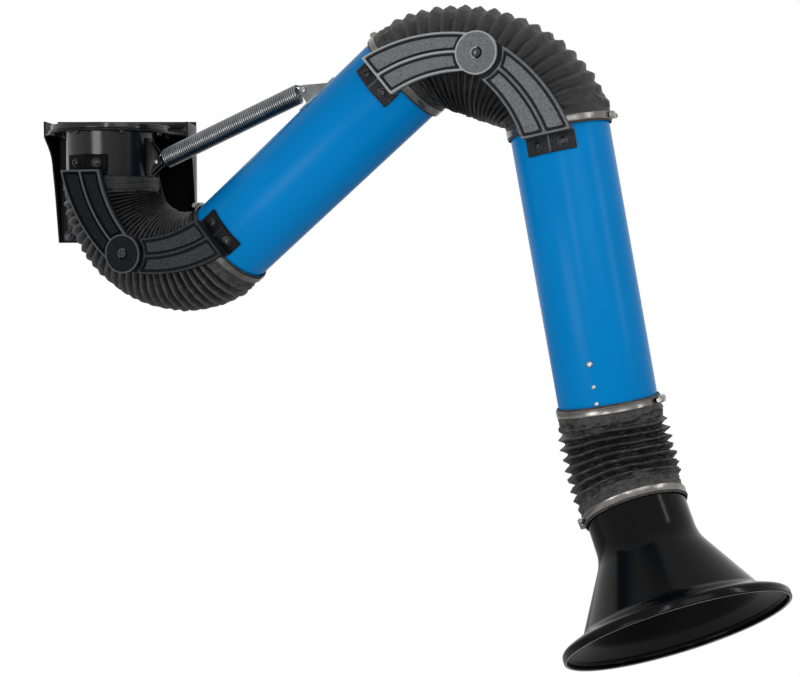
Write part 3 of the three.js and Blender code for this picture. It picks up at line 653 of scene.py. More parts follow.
def hose_tree() -> Tree:
    """Returns the tree that skins a straight path along X with a ribbed, creased hose."""
    made = Tree("ribbed_hose", {
        "Straight": "NodeSocketFloat", "Pitch": "NodeSocketFloat", "Total": "NodeSocketFloat",
        "Cuff": "NodeSocketFloat", "Valley": "NodeSocketFloat", "Crest": "NodeSocketFloat",
        "Crease": "NodeSocketFloat", "Wander": "NodeSocketFloat", "Slack": "NodeSocketFloat", "Point": "NodeSocketFloat",
        "Sides": "NodeSocketInt", "Finish": "NodeSocketMaterial"})
    nodes, given = made.nodes, made.inside.outputs
    ring = nodes.add("GeometryNodeCurvePrimitiveCircle", {"Resolution": given["Sides"], "Radius": given["Cuff"]})
    skin = nodes.add("GeometryNodeCurveToMesh", {"Curve": given["Geometry"], "Profile Curve": ring.outputs["Curve"]})
    place = nodes.add("GeometryNodeInputPosition").outputs["Position"]
    along = nodes.add("ShaderNodeSeparateXYZ", {0: place}).outputs["X"]
    normal = nodes.add("GeometryNodeInputNormal").outputs["Normal"]

    def noise(stretch: tuple[float, float, float], detail: float) -> bpy.types.NodeSocket:
        """Returns noise from -1 to 1, at a scale per metre on each axis."""
        spread = nodes.add("ShaderNodeVectorMath", {0: place, 1: stretch}, operation="MULTIPLY").outputs["Vector"]
        cloud = nodes.add("ShaderNodeTexNoise", {"Vector": spread, "Scale": 1.0, "Detail": detail})
        return nodes.math("MULTIPLY", nodes.math("SUBTRACT", cloud.outputs["Fac"], 0.5), 2.0)

    from_cuff = nodes.math("SUBTRACT", along, given["Straight"])
    to_end = nodes.math("SUBTRACT", nodes.math("SUBTRACT", given["Total"], along), given["Straight"])
    inset = nodes.math("MINIMUM", from_cuff, to_end)
    fade = nodes.add("ShaderNodeMapRange", {"Value": inset, "From Max": given["Slack"]}, interpolation_type="SMOOTHSTEP")
    drift = nodes.math("MULTIPLY", noise((6.0, 14.0, 14.0), 1.0), given["Wander"])
    phase = nodes.math("FRACT", nodes.math("ADD", nodes.math("DIVIDE", from_cuff, given["Pitch"]), drift))
    slope = nodes.math("ABSOLUTE", nodes.math("SUBTRACT", nodes.math("MULTIPLY", phase, 2.0), 1.0))
    peak = nodes.math("POWER", nodes.math("SUBTRACT", 1.0, slope), given["Point"])
    rib = nodes.math("ADD", nodes.math("SUBTRACT", given["Valley"], given["Cuff"]), nodes.math(
        "MULTIPLY", peak, nodes.math("SUBTRACT", given["Crest"], given["Valley"])))
    ribbed = nodes.math("MULTIPLY", rib, fade.outputs["Result"])
    folds = nodes.math("ADD", noise((45.0, 32.0, 32.0), 2.0), nodes.math("MULTIPLY", noise((150.0, 90.0, 90.0), 3.0), 0.35))
    fold = nodes.math("MULTIPLY", folds, given["Crease"])
    loose = nodes.math("ADD", 0.45, nodes.math("MULTIPLY", nodes.math("SUBTRACT", 1.0, fade.outputs["Result"]), 0.9))
    free = nodes.add("ShaderNodeMapRange", {"Value": inset, "From Min": -0.012, "From Max": 0.004})
    crease = nodes.math("MULTIPLY", nodes.math("MULTIPLY", fold, loose), free.outputs["Result"])
    push = nodes.add("ShaderNodeVectorMath", {0: normal, "Scale": nodes.math("ADD", ribbed, crease)}, operation="SCALE")
    # Painted highlight on the rib crests and painted shade in the valleys, stored as the crest attribute.
    rib_light = nodes.math("SUBTRACT", nodes.math("POWER", nodes.math("SUBTRACT", 1.0, slope), 2.6), 0.36)
    ridge = nodes.math("MULTIPLY", rib_light, fade.outputs["Result"])
    noted = nodes.add("GeometryNodeStoreNamedAttribute", {
        "Geometry": skin.outputs["Mesh"], "Name": "crest", "Value": ridge}, data_type="FLOAT", domain="POINT")
    creased = nodes.add("GeometryNodeSetPosition", {"Geometry": noted.outputs["Geometry"], "Offset": push.outputs["Vector"]})
    made.end(creased.outputs["Geometry"])
    return made


def wire_tree() -> Tree:
    """Returns the tree that skins a path with round wire."""
    made = Tree("round_wire", {
        "Radius": "NodeSocketFloat", "Sides": "NodeSocketInt", "Finish": "NodeSocketMaterial"})
    given = made.inside.outputs
    ring = made.nodes.add("GeometryNodeCurvePrimitiveCircle", {"Resolution": given["Sides"], "Radius": given["Radius"]})
    skin = made.nodes.add("GeometryNodeCurveToMesh", {
        "Curve": given["Geometry"], "Profile Curve": ring.outputs["Curve"], "Fill Caps": True})
    made.end(skin.outputs["Mesh"])
    return made


def fastener_tree() -> Tree:
    """Returns the tree that sets a fastener on each point, along the point's axis attribute."""
    made = Tree("fasteners", {
        "Fastener": "NodeSocketObject", "Size": "NodeSocketFloat", "Finish": "NodeSocketMaterial"})
    nodes, given = made.nodes, made.inside.outputs
    points = nodes.add("GeometryNodeMeshToPoints", {"Mesh": given["Geometry"]})
    axis = nodes.add("GeometryNodeInputNamedAttribute", {"Name": "axis"}, data_type="FLOAT_VECTOR")
    turn = nodes.add("FunctionNodeAlignRotationToVector", {"Vector": axis.outputs["Attribute"]}, axis="Z")
    shape = nodes.add("GeometryNodeObjectInfo", {"Object": given["Fastener"]})
    placed = nodes.add("GeometryNodeInstanceOnPoints", {
        "Points": points.outputs["Points"], "Instance": shape.outputs["Geometry"],
        "Rotation": turn.outputs["Rotation"], "Scale": given["Size"]})
    made.end(placed.outputs["Instances"])
    return made


def path_object(points: np.ndarray) -> bpy.types.Object:
    """Returns a curve object with one straight-segment spline through the points."""
    curve = bpy.data.curves.new("path", "CURVE")
    curve.dimensions = "3D"
    spline = curve.splines.new("POLY")
    spline.points.add(len(points) - 1)
    spline.points.foreach_set("co", np.column_stack((points, np.ones(len(points)))).ravel())
    made = bpy.data.objects.new("path", curve)
    bpy.context.scene.collection.objects.link(made)
    return made


# Hoses


@dataclass
class Hose:
    """A ribbed hose that bends once between two tube ends.

    Attributes:
        node: CAD node that it stands for.
        start: Frame of the tube end that it starts from.
        tangent: Distance from that end to where the two tubes' axes cross.
        bend: Bend in degrees.
        ribs: Number of ribs.
        bodies: Bodies at its two ends; not used.
        zone: Share of the chord for its bend zone; not used.
        taut: How far it is pulled from a plain arc (0) to a straight inside of the bend (1).
        wander: How far the ribs stray, in ribs.
        slack: Length over which the ribs rise from a cuff.
        point: How pointed the ribs are; below 1 they are full and the valleys are narrow.
    """

    node: str
    start: Matrix
    tangent: float
    bend: float
    ribs: int
    bodies: tuple[str, str]
    zone: tuple[float, float]
    taut: float = 0.0
    wander: float = 0.1
    slack: float = 0.03
    point: float = 1.7
    finish: Finish = FABRIC
    crease: float = 0.0055
    straight: float = 0.030
    cuff: float = 0.1056
    valley: float = 0.1035
    crest: float = 0.1125
    wall: float = 0.0012
    rings_per_rib: int = 10
    sides: int = 144

    @property
    def radius(self) -> float:
        """Radius of the plain arc."""
        return (self.tangent - self.straight) / math.tan(math.radians(self.bend) / 2)

    def bent(self, points: np.ndarray) -> np.ndarray:
        """Returns points of the straight hose along X, moved to the bent hose in the row frame."""
        bend, radius = math.radians(self.bend), self.radius
        along, lateral, side = points.T
        angle = np.clip((along - self.straight) / radius, 0, bend)
        before = np.minimum(along, self.straight)
        after = np.maximum(0, along - self.straight - radius * bend)
        inside, share = radius - self.cuff, angle / bend
        pull_x = inside * (share * math.sin(bend) - np.sin(angle))
        pull_y = inside * (share * (1 - math.cos(bend)) - (1 - np.cos(angle)))
        x = before + radius * np.sin(angle) + self.taut * pull_x + (after * np.cos(angle) - lateral * np.sin(angle))
        y = radius * (1 - np.cos(angle)) + self.taut * pull_y + (after * np.sin(angle) + lateral * np.cos(angle))
        flat = np.column_stack((x, y, side, np.ones(len(x))))
        return (flat @ np.array(self.start).T)[:, :3]

    def build(self, tree: Tree) -> bpy.types.Object:
        """Makes the hose in place between its tube ends.

        Args:
            tree: Tree of a ribbed hose.

        Returns:
            The hose.
        """
        arc = self.radius * math.radians(self.bend)
        total = arc + 2 * self.straight
        cuff_steps = np.linspace(0, self.straight, 13)
        ribbed = self.straight + np.linspace(0, arc, self.ribs * self.rings_per_rib + 1)
        along = np.concatenate((cuff_steps[:-1], ribbed, total - cuff_steps[-2::-1]))
        line = np.column_stack((along, np.zeros((len(along), 2))))
        skin = tree.grown(path_object(line), self.node + "_skin", {
            "Straight": self.straight, "Pitch": arc / self.ribs, "Total": total, "Cuff": self.cuff,
            "Valley": self.valley, "Crest": self.crest, "Crease": self.crease, "Wander": self.wander,
            "Slack": self.slack, "Point": self.point, "Sides": self.sides, "Finish": self.finish.material()})
        count = len(skin.data.vertices)
        points = np.empty(count * 3, np.float32)
        skin.data.vertices.foreach_get("co", points)
        skin.data.vertices.foreach_set("co", self.bent(points.reshape(-1, 3)).ravel())
        thick = skin.modifiers.new("wall", "SOLIDIFY")
        thick.thickness = self.wall
        thick.offset = -1
        seen = skin.evaluated_get(bpy.context.evaluated_depsgraph_get())
        mesh = bpy.data.meshes.new_from_object(seen)
        bpy.data.objects.remove(skin)
        piece = dressed(settled(mesh, self.node + "_cloth", 60.0), self.finish, None, [self.node])
        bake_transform(piece)
        return piece


def crossing(bend: float) -> float:
    """Returns how far past a tube's end its axis crosses the next tube's, for a bend in degrees."""
    return ARM.reach + ARM.drop * math.tan(math.radians(bend) / 2)


def build_hoses() -> None:
    """Makes the base, elbow and hood hoses."""
    tree = hose_tree()
    ends = end_frames()
    hood_start = tube_end(ARM.hood_turn, X, Z, (-ARM.hood_reach, 0, 0))
    Hose("base_hose", ends["collar"], crossing(ARM.base_bend), ARM.base_bend, 26, ("swivel", "boom"), (0.285, 0.715),
         taut=0.4, slack=0.02, point=0.8, crease=0.007, valley=0.1005, crest=0.1135, finish=LIT_FABRIC).build(tree)
    Hose("elbow_hose", ends["boom_high"], crossing(ARM.elbow_bend), ARM.elbow_bend, 19, ("boom", "forearm"), (0.265, 0.735),
         taut=0.9, slack=0.05, crease=0.009).build(tree)
    Hose("hood_hose", hood_start, ARM.hood_reach, ARM.tilt, 9, ("hood_turn", "hood"), (0.2, 0.8),
         wander=0.35, slack=0.042, point=1.3, crease=0.014, valley=0.0985, crest=0.1145, finish=LIT_FABRIC).build(tree)


# Balance spring


@dataclass
class BalanceSpring:
    """Closely wound extension spring with a hook at each end, and its pins and tabs.

    The spring is made as two lengths of wire that meet at a seam.
    """

    low_pin: tuple[float, float] = (0.127, 0.034)
    high_pin: tuple[float, float] = (0.5256, 0.0235)
    mean: float = 0.0197
    wire: float = 0.0023
    lead: float = 0.019
    curls: int = 72
    steps: int = 20
    pin_r: float = 0.005
    clearance: float = 0.0003
    seam: float = 0.2
    low_share: tuple[float, float] = (0.0, 0.36)
    high_share: tuple[float, float] = (-0.612, 0.85)

    def line(self, span: float) -> np.ndarray:
        """Returns the wire's middle line from hook to hook, along X from pin to pin."""
        hook_r = self.pin_r + self.wire + self.clearance
        angle = np.radians(np.linspace(-90, -270, 19))
        hook = np.column_stack((hook_r * np.cos(angle), np.zeros(19), hook_r * np.sin(angle)))
        turn = np.linspace(0, 2 * math.pi * self.curls, self.curls * self.steps + 1)
        along = self.lead + (span - 2 * self.lead) * turn / turn[-1]
        coil = np.column_stack((along, self.mean * np.sin(turn), self.mean * np.cos(turn)))
        far = (hook * (-1, 1, 1) + (span, 0, 0))[::-1]
        return np.concatenate((hook, coil, far))

    def build(self) -> None:
        """Makes the spring and dresses its pins and tabs."""
        low = ARM.swivel @ Vector((self.low_pin[0], 0, self.low_pin[1]))
        high = ARM.boom @ Vector((self.high_pin[0], 0, self.high_pin[1]))
        along = (high - low).normalized()
        across = (ARM.swivel.to_3x3() @ Y).normalized()
        basis = Matrix((along, across, along.cross(across))).transposed().to_4x4()
        place = Matrix.Translation(low) @ basis
        span = (high - low).length
        local = self.line(span)
        world = (np.column_stack((local, np.ones(len(local)))) @ np.array(place).T)[:, :3]
        cut = int(np.argmax(local[:, 0] > self.seam * span))
        tree = wire_tree()
        for name, line, share, nodes in (("balance_spring_low", world[:cut + 1], self.low_share, []),
                                         ("balance_spring_high", world[cut:], self.high_share, ["balance_spring"])):
            piece = tree.grown(path_object(line), name, {
                "Radius": self.wire, "Sides": 10, "Finish": SPRING_STEEL.material()})
            dressed(piece, SPRING_STEEL, None, nodes)
            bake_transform(piece)
        dressed(refined("spring_tab_lower", 0.0008), BLACK, "swivel", ["spring_tab_lower"])
        dressed(refined("spring_tab_upper", 0.0008), SPRING_STEEL, "boom", ["spring_tab_upper"])
        for node, body in (("spring_pin_lower", "swivel"), ("spring_pin_upper", "boom")):
            dressed(refined(node, 0.0006), ZINC, body, [node])


# Links


@dataclass
class Link:
    """Cast link: a curved panel with two sunken fields, a saddle pad and half of a lapped pivot.

    The frame is that of a tube end, with Z as the distance from the arm's middle plane.
    """

    node: str
    body: str
    matrix: Matrix
    turn: Turn
    finish: Finish
    end: float = -0.013
    wide: float = 0.097
    narrow: float = 0.072
    sweep: float = math.radians(39)
    inner: float = 0.115
    face: float = 0.133
    floor: float = 0.127
    floor_rise: float = 0.0034
    flank: float = 0.0016
    moat: float = 0.0046
    rib: float = 0.0038
    ridge: float = 0.0022
    disc_r: float = 0.043
    clear: float = 0.052
    inner_top: float = 0.122
    outer_base: float = 0.1246
    outer_top: float = 0.136
    pad_width: float = 0.100
    pad_length: float = 0.035
    pad_thick: float = 0.005
    pad_tilt: float = math.radians(15)
    wall: float = 0.010
    wall_top: float = 0.121
    gap: float = 0.0003
    rows: int = 220
    bolt_out: float = 0.026

    @property
    def radius(self) -> float:
        """Radius of the middle line."""
        return math.hypot(ARM.reach - self.end, ARM.drop) / 2 / math.sin(self.sweep / 2)

    @property
    def heading(self) -> float:
        """Direction in which the middle line starts."""
        return math.atan2(ARM.drop, ARM.reach - self.end) - self.sweep / 2

    def spot(self, t: np.ndarray, offset: np.ndarray) -> tuple[np.ndarray, np.ndarray]:
        """Returns X and Y at t along the middle line, moved sideways by an offset."""
        now = self.heading + self.sweep * t
        x = self.end + self.radius * (np.sin(now) - math.sin(self.heading))
        y = self.radius * (math.cos(self.heading) - np.cos(now))
        return x - offset * np.sin(now), y + offset * np.cos(now)

    def offsets(self, half: np.ndarray) -> np.ndarray:
        """Returns the sideways places of the panel's columns, close together at the ribs."""
        middle = np.array((0, 1.2, 2.0, 2.6, 3.3, 4.2, 5.2, 6.2, 7.2, 8.2, 9.4)) * MM
        edge = np.array((14, 12, 10.8, 9.8, 8.8, 7.8, 6.8, 5.9, 5.2, 4.5, 3.6, 2.4, 1.4, 0.7, 0.2, 0)) * MM
        between = np.linspace(0, 1, 6)[1:-1]
        low, high = middle[-1], half - edge[0]
        right = np.concatenate((np.broadcast_to(middle, (len(half), len(middle))),
                                low + (high - low) * between, half - edge), axis=1)
        return np.concatenate((-right[:, :0:-1], right), axis=1)

    def panel(self, shape: Shape) -> None:
        """Adds the curved panel as a closed skin of rows across it."""
        t = np.linspace(-0.075, 1.0, self.rows)[:, None]
        half = (self.wide + (self.narrow - self.wide) * t) / 2
        offset = self.offsets(half)
        x, y = self.spot(t, offset)
        x = np.maximum(x, self.end)
        edge = half - np.abs(offset)
        pivot = np.hypot(x - ARM.reach, y - ARM.drop)
        outer = self.turn is Turn.OUTER
        stop = self.disc_r + self.gap if outer else self.clear + self.rib
        inset = soft_least((edge - self.rib, np.abs(offset) - self.rib / 2, x - self.end - self.rib, pivot - stop), 0.004)
        moat = smooth_step(inset / self.flank)
        rise = smooth_step((inset - self.moat) / (1.3 * self.flank))
        top = self.face - (self.face - self.floor) * moat + self.floor_rise * rise
        # Painted shade in the moats, a painted highlight on the rib tops and none on the raised floor.
        panel_shading = moat * (1 - rise) - (1 - moat)
        ease = 0.002
        lip = np.clip(ease - edge, 0, ease)
        top = top - (ease - np.sqrt(np.maximum(ease**2 - lip**2, 0)))
        low = np.full_like(top, self.inner)
        if outer:
            low = np.where(pivot < self.clear, self.outer_base, low)
        else:
            step = smooth_step((pivot - self.clear) / 0.002)
            top = self.inner_top + (top - self.inner_top) * step
            # Painted shade where the partner link's disc laps over this one.
            panel_shading = np.maximum(panel_shading, 1 - step)
        rings = np.stack((np.concatenate((x, x[:, ::-1]), 1), np.concatenate((y, y[:, ::-1]), 1),
                          np.concatenate((top, low[:, ::-1]), 1)), axis=2)
        # The panel's underside gets painted shade at 0.8.
        shape.skin(rings, recess=np.concatenate((panel_shading, np.full_like(panel_shading, 0.8)), 1))

    def hug(self, distance: float, lateral: float) -> float:
        """Returns the height of a saddle facet at a distance from the tube's axis."""
        return (distance - abs(lateral) * math.sin(self.pad_tilt)) / math.cos(self.pad_tilt)

    def pad(self, shape: Shape) -> None:
        """Adds the two-facet saddle and the end wall that carries the panel."""
        seat = ARM.tube_r + self.gap
        half = self.pad_width / 2
        saddle = [(y, self.hug(seat, y)) for y in (-half, 0, half)]
        saddle += [(y, self.hug(seat + self.pad_thick, y)) for y in (half, 0, -half)]
        # The saddle gets painted shade at 0.8, the ridge lighter painted shade at 0.25 and the end wall 0.3, for how
        # these faces are lit.
        shape.bar(eased(saddle, 0.0018), self.end - self.pad_length, self.end + 0.002, 0.0012, recess=0.8)
        crown = self.hug(seat + self.pad_thick, 0)
        ridge = [(-self.rib / 2, crown - 0.001), (self.rib / 2, crown - 0.001),
                 (self.rib / 2, crown + self.ridge), (-self.rib / 2, crown + self.ridge)]
        shape.bar(eased(ridge, 0.0008), self.end - self.pad_length + 0.001, self.end + 0.002, 0.0012, recess=0.25)
        half = self.wide / 2
        wall = [(y, self.hug(seat, y)) for y in (-half, 0, half)] + [(half, self.wall_top), (-half, self.wall_top)]
        shape.bar(eased(wall, 0.003), self.end, self.end + self.wall, 0.0016, recess=0.3)

    def disc(self, shape: Shape) -> None:
        """Adds the pivot disc."""
        at = (ARM.reach, ARM.drop, 0)
        if self.turn is Turn.INNER:
            ring = [(0.0064, self.inner), (self.disc_r, self.inner), (self.disc_r, self.inner_top), (0.0064, self.inner_top)]
            shape.turned(eased(ring, 0.001), 64, "Z", at)
            return
        top, rim, well, floor = self.outer_top, self.disc_r - 0.0028, 0.0125, 0.1305
        dish = top - 0.0016
        ring = [(0.0064, self.outer_base), (self.disc_r, self.outer_base), (self.disc_r, top), (rim, top),
                (rim - 0.0008, dish), (well, dish), (well, floor), (0.0064, floor)]
        # Painted highlight on the rim's top and painted shade in the well round the bolt.
        marks = np.repeat((0.0, 0.0, -1.0, -1.0, 0.0, 0.0, 1.0, 1.0), 4)
        shape.turned(eased(ring, 0.0008), 128, "Z", at, recess=marks)

    def bolts(self) -> list[tuple[Vector, Vector]]:
        """Returns the place and direction of the two pad bolts, in the row frame."""
        x = self.end - self.pad_length / 2
        made = []
        for sign in (-1, 1):
            y = sign * self.bolt_out
            at = Vector((x, y, self.hug(ARM.tube_r + self.gap + self.pad_thick, y)))
            up = Vector((0, sign * math.sin(self.pad_tilt), math.cos(self.pad_tilt)))
            made.append((self.matrix @ at, self.matrix.to_3x3() @ up))
        return made

    def build(self) -> bpy.types.Object:
        """Makes the link."""
        shape = Shape()
        self.panel(shape)
        self.pad(shape)
        self.disc(shape)
        piece = shape.object(f"{self.node}_cast", self.matrix, 40.0)
        return dressed(piece, self.finish, self.body, [self.node])


def smooth_step(t: np.ndarray) -> np.ndarray:
    """Returns a smooth step from 0 to 1."""
    t = np.clip(t, 0, 1)
    return t * t * (3 - 2 * t)


def soft_least(values: Sequence[np.ndarray], round_off: float) -> np.ndarray:
    """Returns the least of several distances, with the corners rounded off."""
    least = values[0]
    for value in values[1:]:
        blend = np.clip(0.5 + 0.5 * (value - least) / round_off, 0, 1)
        least = value * (1 - blend) + least * blend - round_off * blend * (1 - blend)
    return least


# Fasteners


@dataclass(frozen=True)
class Screw:
    """A round-headed socket screw that stands on its seat along Z.

    Attributes:
        head: Radius of the head.
        tall: Height of the head.
        socket: Radius of the hexagon socket, or 0 for a rivet.
        washer: Radius of the washer, or 0 for none.
    """

    head: float
    tall: float
    socket: float
    washer: float = 0.0

    def prototype(self) -> bpy.types.Object:
        """Makes one screw at the origin."""
        shape = Shape()
        base = 0.0
        if self.washer:
            base = 0.0015
            shape.turned(eased([(1e-4, -0.0004), (self.washer, -0.0004), (self.washer, base), (1e-4, base)], 0.0004, 2), 28, "Z")
        rim = self.tall * 0.45
        dome = [(self.head * math.cos(a), base + rim + (self.tall - rim) * math.sin(a))
                for a in np.linspace(0, math.radians(62), 5)]
        sides = 24
        angle = np.linspace(0, 2 * math.pi, sides, endpoint=False)
        rings = [(self.head * 0.97, base - 0.0004), (self.head, base + 0.0002), *dome]
        if self.socket:
            rings += [(self.socket * 1.12, base + self.tall)]
        points = [np.column_stack((r * np.cos(angle), r * np.sin(angle), np.full(sides, z))) for r, z in rings]
        if self.socket:
            hexagon = self.socket * math.cos(math.pi / 6) / np.cos((angle + math.pi / 6) % (math.pi / 3) - math.pi / 6)
            for z in (base + self.tall, base + self.tall * 0.45):
                points.append(np.column_stack((hexagon * np.cos(angle), hexagon * np.sin(angle), np.full(sides, z))))
        shape.skin(np.array(points))
        return shape.object("screw_pattern", Matrix.Identity(4), 30.0)


@dataclass(frozen=True)
class PivotBolt:
    """Socket-head bolt through a lapped pivot, in the frame of its tube end."""

    shank: float = 0.006
    low: float = 0.115
    seat: float = 0.1308
    top: float = 0.1352
    head: float = 0.0092
    socket: float = 0.0046
    depth: float = 0.0032

    def shape(self) -> Shape:
        """Returns the bolt's shape."""
        made = Shape()
        sides = 48
        angle = np.linspace(0, 2 * math.pi, sides, endpoint=False)
        hexagon = self.socket * math.cos(math.pi / 6) / np.cos((angle + math.pi / 6) % (math.pi / 3) - math.pi / 6)
        rings = [(self.shank, self.low), (self.shank, self.seat), (self.head, self.seat), (self.head, self.top - 0.001),
                 (self.head - 0.001, self.top), (self.socket * 1.1, self.top)]
        points = [(r * np.cos(angle), r * np.sin(angle), np.full(sides, z)) for r, z in rings]
        points += [(hexagon * np.cos(angle), hexagon * np.sin(angle), np.full(sides, self.top - d)) for d in (0, self.depth)]
        return made.skin(np.stack([np.stack(p, 1) for p in points]) + (ARM.reach, ARM.drop, 0))


class Fasteners:
    """Sets fasteners on the arm, one piece for each body and kind."""

    def __init__(self) -> None:
        """Makes the tree once."""
        self.tree = fastener_tree()

    def set(self, name: str, body: str, screw: Screw, places: Sequence[tuple[Vector, Vector]], finish: Finish) -> None:
        """Makes one piece from a screw and its places.

        Args:
            name: Name of the piece.
            body: Body that it rides on.
            screw: Kind of fastener.
            places: Place and direction of each, in the row frame.
            finish: Finish of the piece.
        """
        mesh = bpy.data.meshes.new("places")
        mesh.from_pydata([tuple(at) for at, _ in places], [], [])
        axis = mesh.attributes.new("axis", "FLOAT_VECTOR", "POINT")
        axis.data.foreach_set("vector", [c for _, along in places for c in along])
        source = bpy.data.objects.new("places", mesh)
        bpy.context.scene.collection.objects.link(source)
        pattern = screw.prototype()
        piece = self.tree.grown(source, name, {"Fastener": pattern, "Size": 1.0, "Finish": finish.material()})
        bpy.data.objects.remove(pattern)
        piece.data.set_sharp_from_angle(angle=math.radians(30))
        dressed(piece, finish, body)


def build_links(fasteners: Fasteners) -> None:
    """Makes the eight links with their pad bolts and pivot bolts."""
    # The collar and lower boom links get the shaded copies of the powder coat, as painted shade.
    kinds = (("collar_link", "swivel", "collar", Turn.OUTER, DEEP_SHADED_CASTING),
             ("boom_lower_link", "boom", "boom_low", Turn.INNER, SHADED_CASTING),
             ("boom_upper_link", "boom", "boom_high", Turn.OUTER, CASTING),
             ("forearm_link", "forearm", "forearm_high", Turn.INNER, CASTING))
    button = Screw(head=0.0085, tall=0.0052, socket=0.0036, washer=0.0105)
    for name, body, end, turn, finish in kinds:
        places: list[tuple[Vector, Vector]] = []
        for side in Side:
            link = Link(f"{name}_{side.name.lower()}", body, end_frames(side)[end], turn, finish)
            link.build()
            places += link.bolts()
        fasteners.set(f"{name}_pad_bolts", body, button, places, DARK_STEEL)
    for joint, body, end in (("base", "swivel", "collar"), ("elbow", "boom", "boom_high")):
        for side in ("near", "far"):
            node = f"{joint}_pivot_bolt_{side}"
            dressed(PivotBolt().shape().object(f"{node}_head", end_frames(Side[side.upper()])[end]), DARK_STEEL, body, [node])
            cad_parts[f"{joint}_friction_disc_{side}"].data.materials.clear()
            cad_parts[f"{joint}_friction_disc_{side}"].data.materials.append(SLIP.material())


# Clamps


@dataclass
class BandClamp:
    """Worm-drive band clamp: band with rolled edges, screw housing and screw.

    Attributes:
        node: CAD node that it stands for.
        body: Body that it rides on.
        matrix: Frame of the tube end, with X out of the tube.
        angle: Place of the housing round the tube in degrees, from Y towards Z.
    """

    node: str
    body: str
    matrix: Matrix
    angle: float
    finish: Finish = STAINLESS
    inside: float = 0.1067
    thick: float = 0.0012
    width: float = 0.014
    start: float = 0.004
    long: float = 0.030
    tall: float = 0.009
    screw_r: float = 0.004
    screw_long: float = 0.044

    def build(self) -> None:
        """Makes the clamp."""
        shape = Shape()
        low, high = self.start, self.start + self.width
        out = self.inside + self.thick
        edge = 0.0005
        band = [(self.inside, low), (out, low), (out + edge, low + 0.001), (out, low + 0.0025), (out, high - 0.0025),
                (out + edge, high - 0.001), (out, high), (self.inside, high)]
        shape.turned(band, 160)
        turn = Matrix.Rotation(math.radians(self.angle), 4, "X")
        housing = Shape()
        middle, lift = (low + high) / 2, out + self.tall / 2
        saddle = eased([(-self.long / 2, out - 0.0004), (self.long / 2, out - 0.0004), (self.long / 2, out + 0.0035),
                        (self.long * 0.36, out + self.tall), (-self.long * 0.36, out + self.tall), (-self.long / 2, out + 0.0035)], 0.0016)
        housing.bar([(z, y) for y, z in saddle], low + 0.0002, high - 0.0002, 0.0012)
        start = -self.long / 2 - 0.002
        stop = self.screw_long - self.long / 2
        housing.turned([(0.0, start), (self.screw_r, start), (self.screw_r, stop - 0.008), (0.0, stop - 0.008)], 20, "Z", (middle, lift, 0))
        housing.turned([(0.0, stop - 0.008), (0.0058, stop - 0.008), (0.0058, stop - 0.001), (0.0048, stop), (0.0, stop)], 6, "Z", (middle, lift, 0))
        base = len(shape.points)
        shape.points += [tuple(turn @ Vector(p)) for p in housing.points]
        shape.faces += [tuple(i + base for i in f) for f in housing.faces]
        dressed(shape.object(f"{self.node}_band", self.matrix, 32.0), self.finish, self.body, [self.node])


@dataclass
class Hem:
    """Gathered hem of the base hose, drawn over its upper clamp.

    Attributes:
        node: CAD node that it stands for.
        body: Body that it rides on.
        matrix: Frame of the tube end, with X out of the tube.
    """

    node: str
    body: str
    matrix: Matrix
    finish: Finish = HEM
    inside: float = 0.1066
    thick: float = 0.0022
    fold: float = 0.0012
    stray: float = 0.0012
    start: float = -0.001
    end: float = 0.031
    lip: float = 0.12
    steps: int = 48
    sides: int = 224

    def folds(self, share: np.ndarray, angle: np.ndarray) -> np.ndarray:
        """Returns gathered folds from about -1 to 1, over the length and round the tube."""
        broad = 2.6 * share + 0.5 * np.sin(2 * angle + 0.4) + 0.22 * np.sin(5 * angle + 1.3)
        fine = 5.3 * share + 0.6 * np.sin(3 * angle + 1.1) + 0.2 * np.sin(7 * angle)
        depth = 0.65 + 0.35 * np.sin(3 * angle + 2.0)
        return 0.65 * depth * np.sin(2 * math.pi * broad) + 0.35 * np.sin(2 * math.pi * fine)

    def build(self) -> None:
        """Makes the hem."""
        share, angle = np.meshgrid(np.linspace(0, 1, self.steps), np.linspace(0, 2 * math.pi, self.sides, endpoint=False),
                                   indexing="ij")
        rise = np.sqrt(np.clip(np.minimum(share, 1 - share) / self.lip, 0, 1))
        radius = self.inside + rise * (self.thick + self.fold * self.folds(share, angle))
        along = self.start + share * (self.end - self.start) + self.stray * np.sin(3 * angle + 0.5)
        rings = np.stack((along, radius * np.cos(angle), radius * np.sin(angle)), axis=2)
        dressed(Shape().skin(rings, loop=True).object(f"{self.node}_hem", self.matrix, 60.0),
                self.finish, self.body, [self.node])


def build_clamps() -> None:
    """Makes the hem and the five clamps."""
    ends = end_frames()
    hood_start = tube_end(ARM.hood_turn, X, Z, (-ARM.hood_reach, 0, 0))
    neck_end = tube_end(ARM.hood, -X, -Z, (ARM.hood_reach, 0, 0))
    for clamp in (Hem("base_clamp_upper", "swivel", ends["collar"]), BandClamp("base_clamp_lower", "boom", ends["boom_low"], 0),
                  BandClamp("elbow_clamp_upper", "boom", ends["boom_high"], 180),
                  BandClamp("elbow_clamp_lower", "forearm", ends["forearm_high"], 180),
                  BandClamp("hood_clamp_upper", "forearm", hood_start, -54), BandClamp("hood_clamp_lower", "hood", neck_end, 72)):
        clamp.build()


# Tubes, swivel and bracket


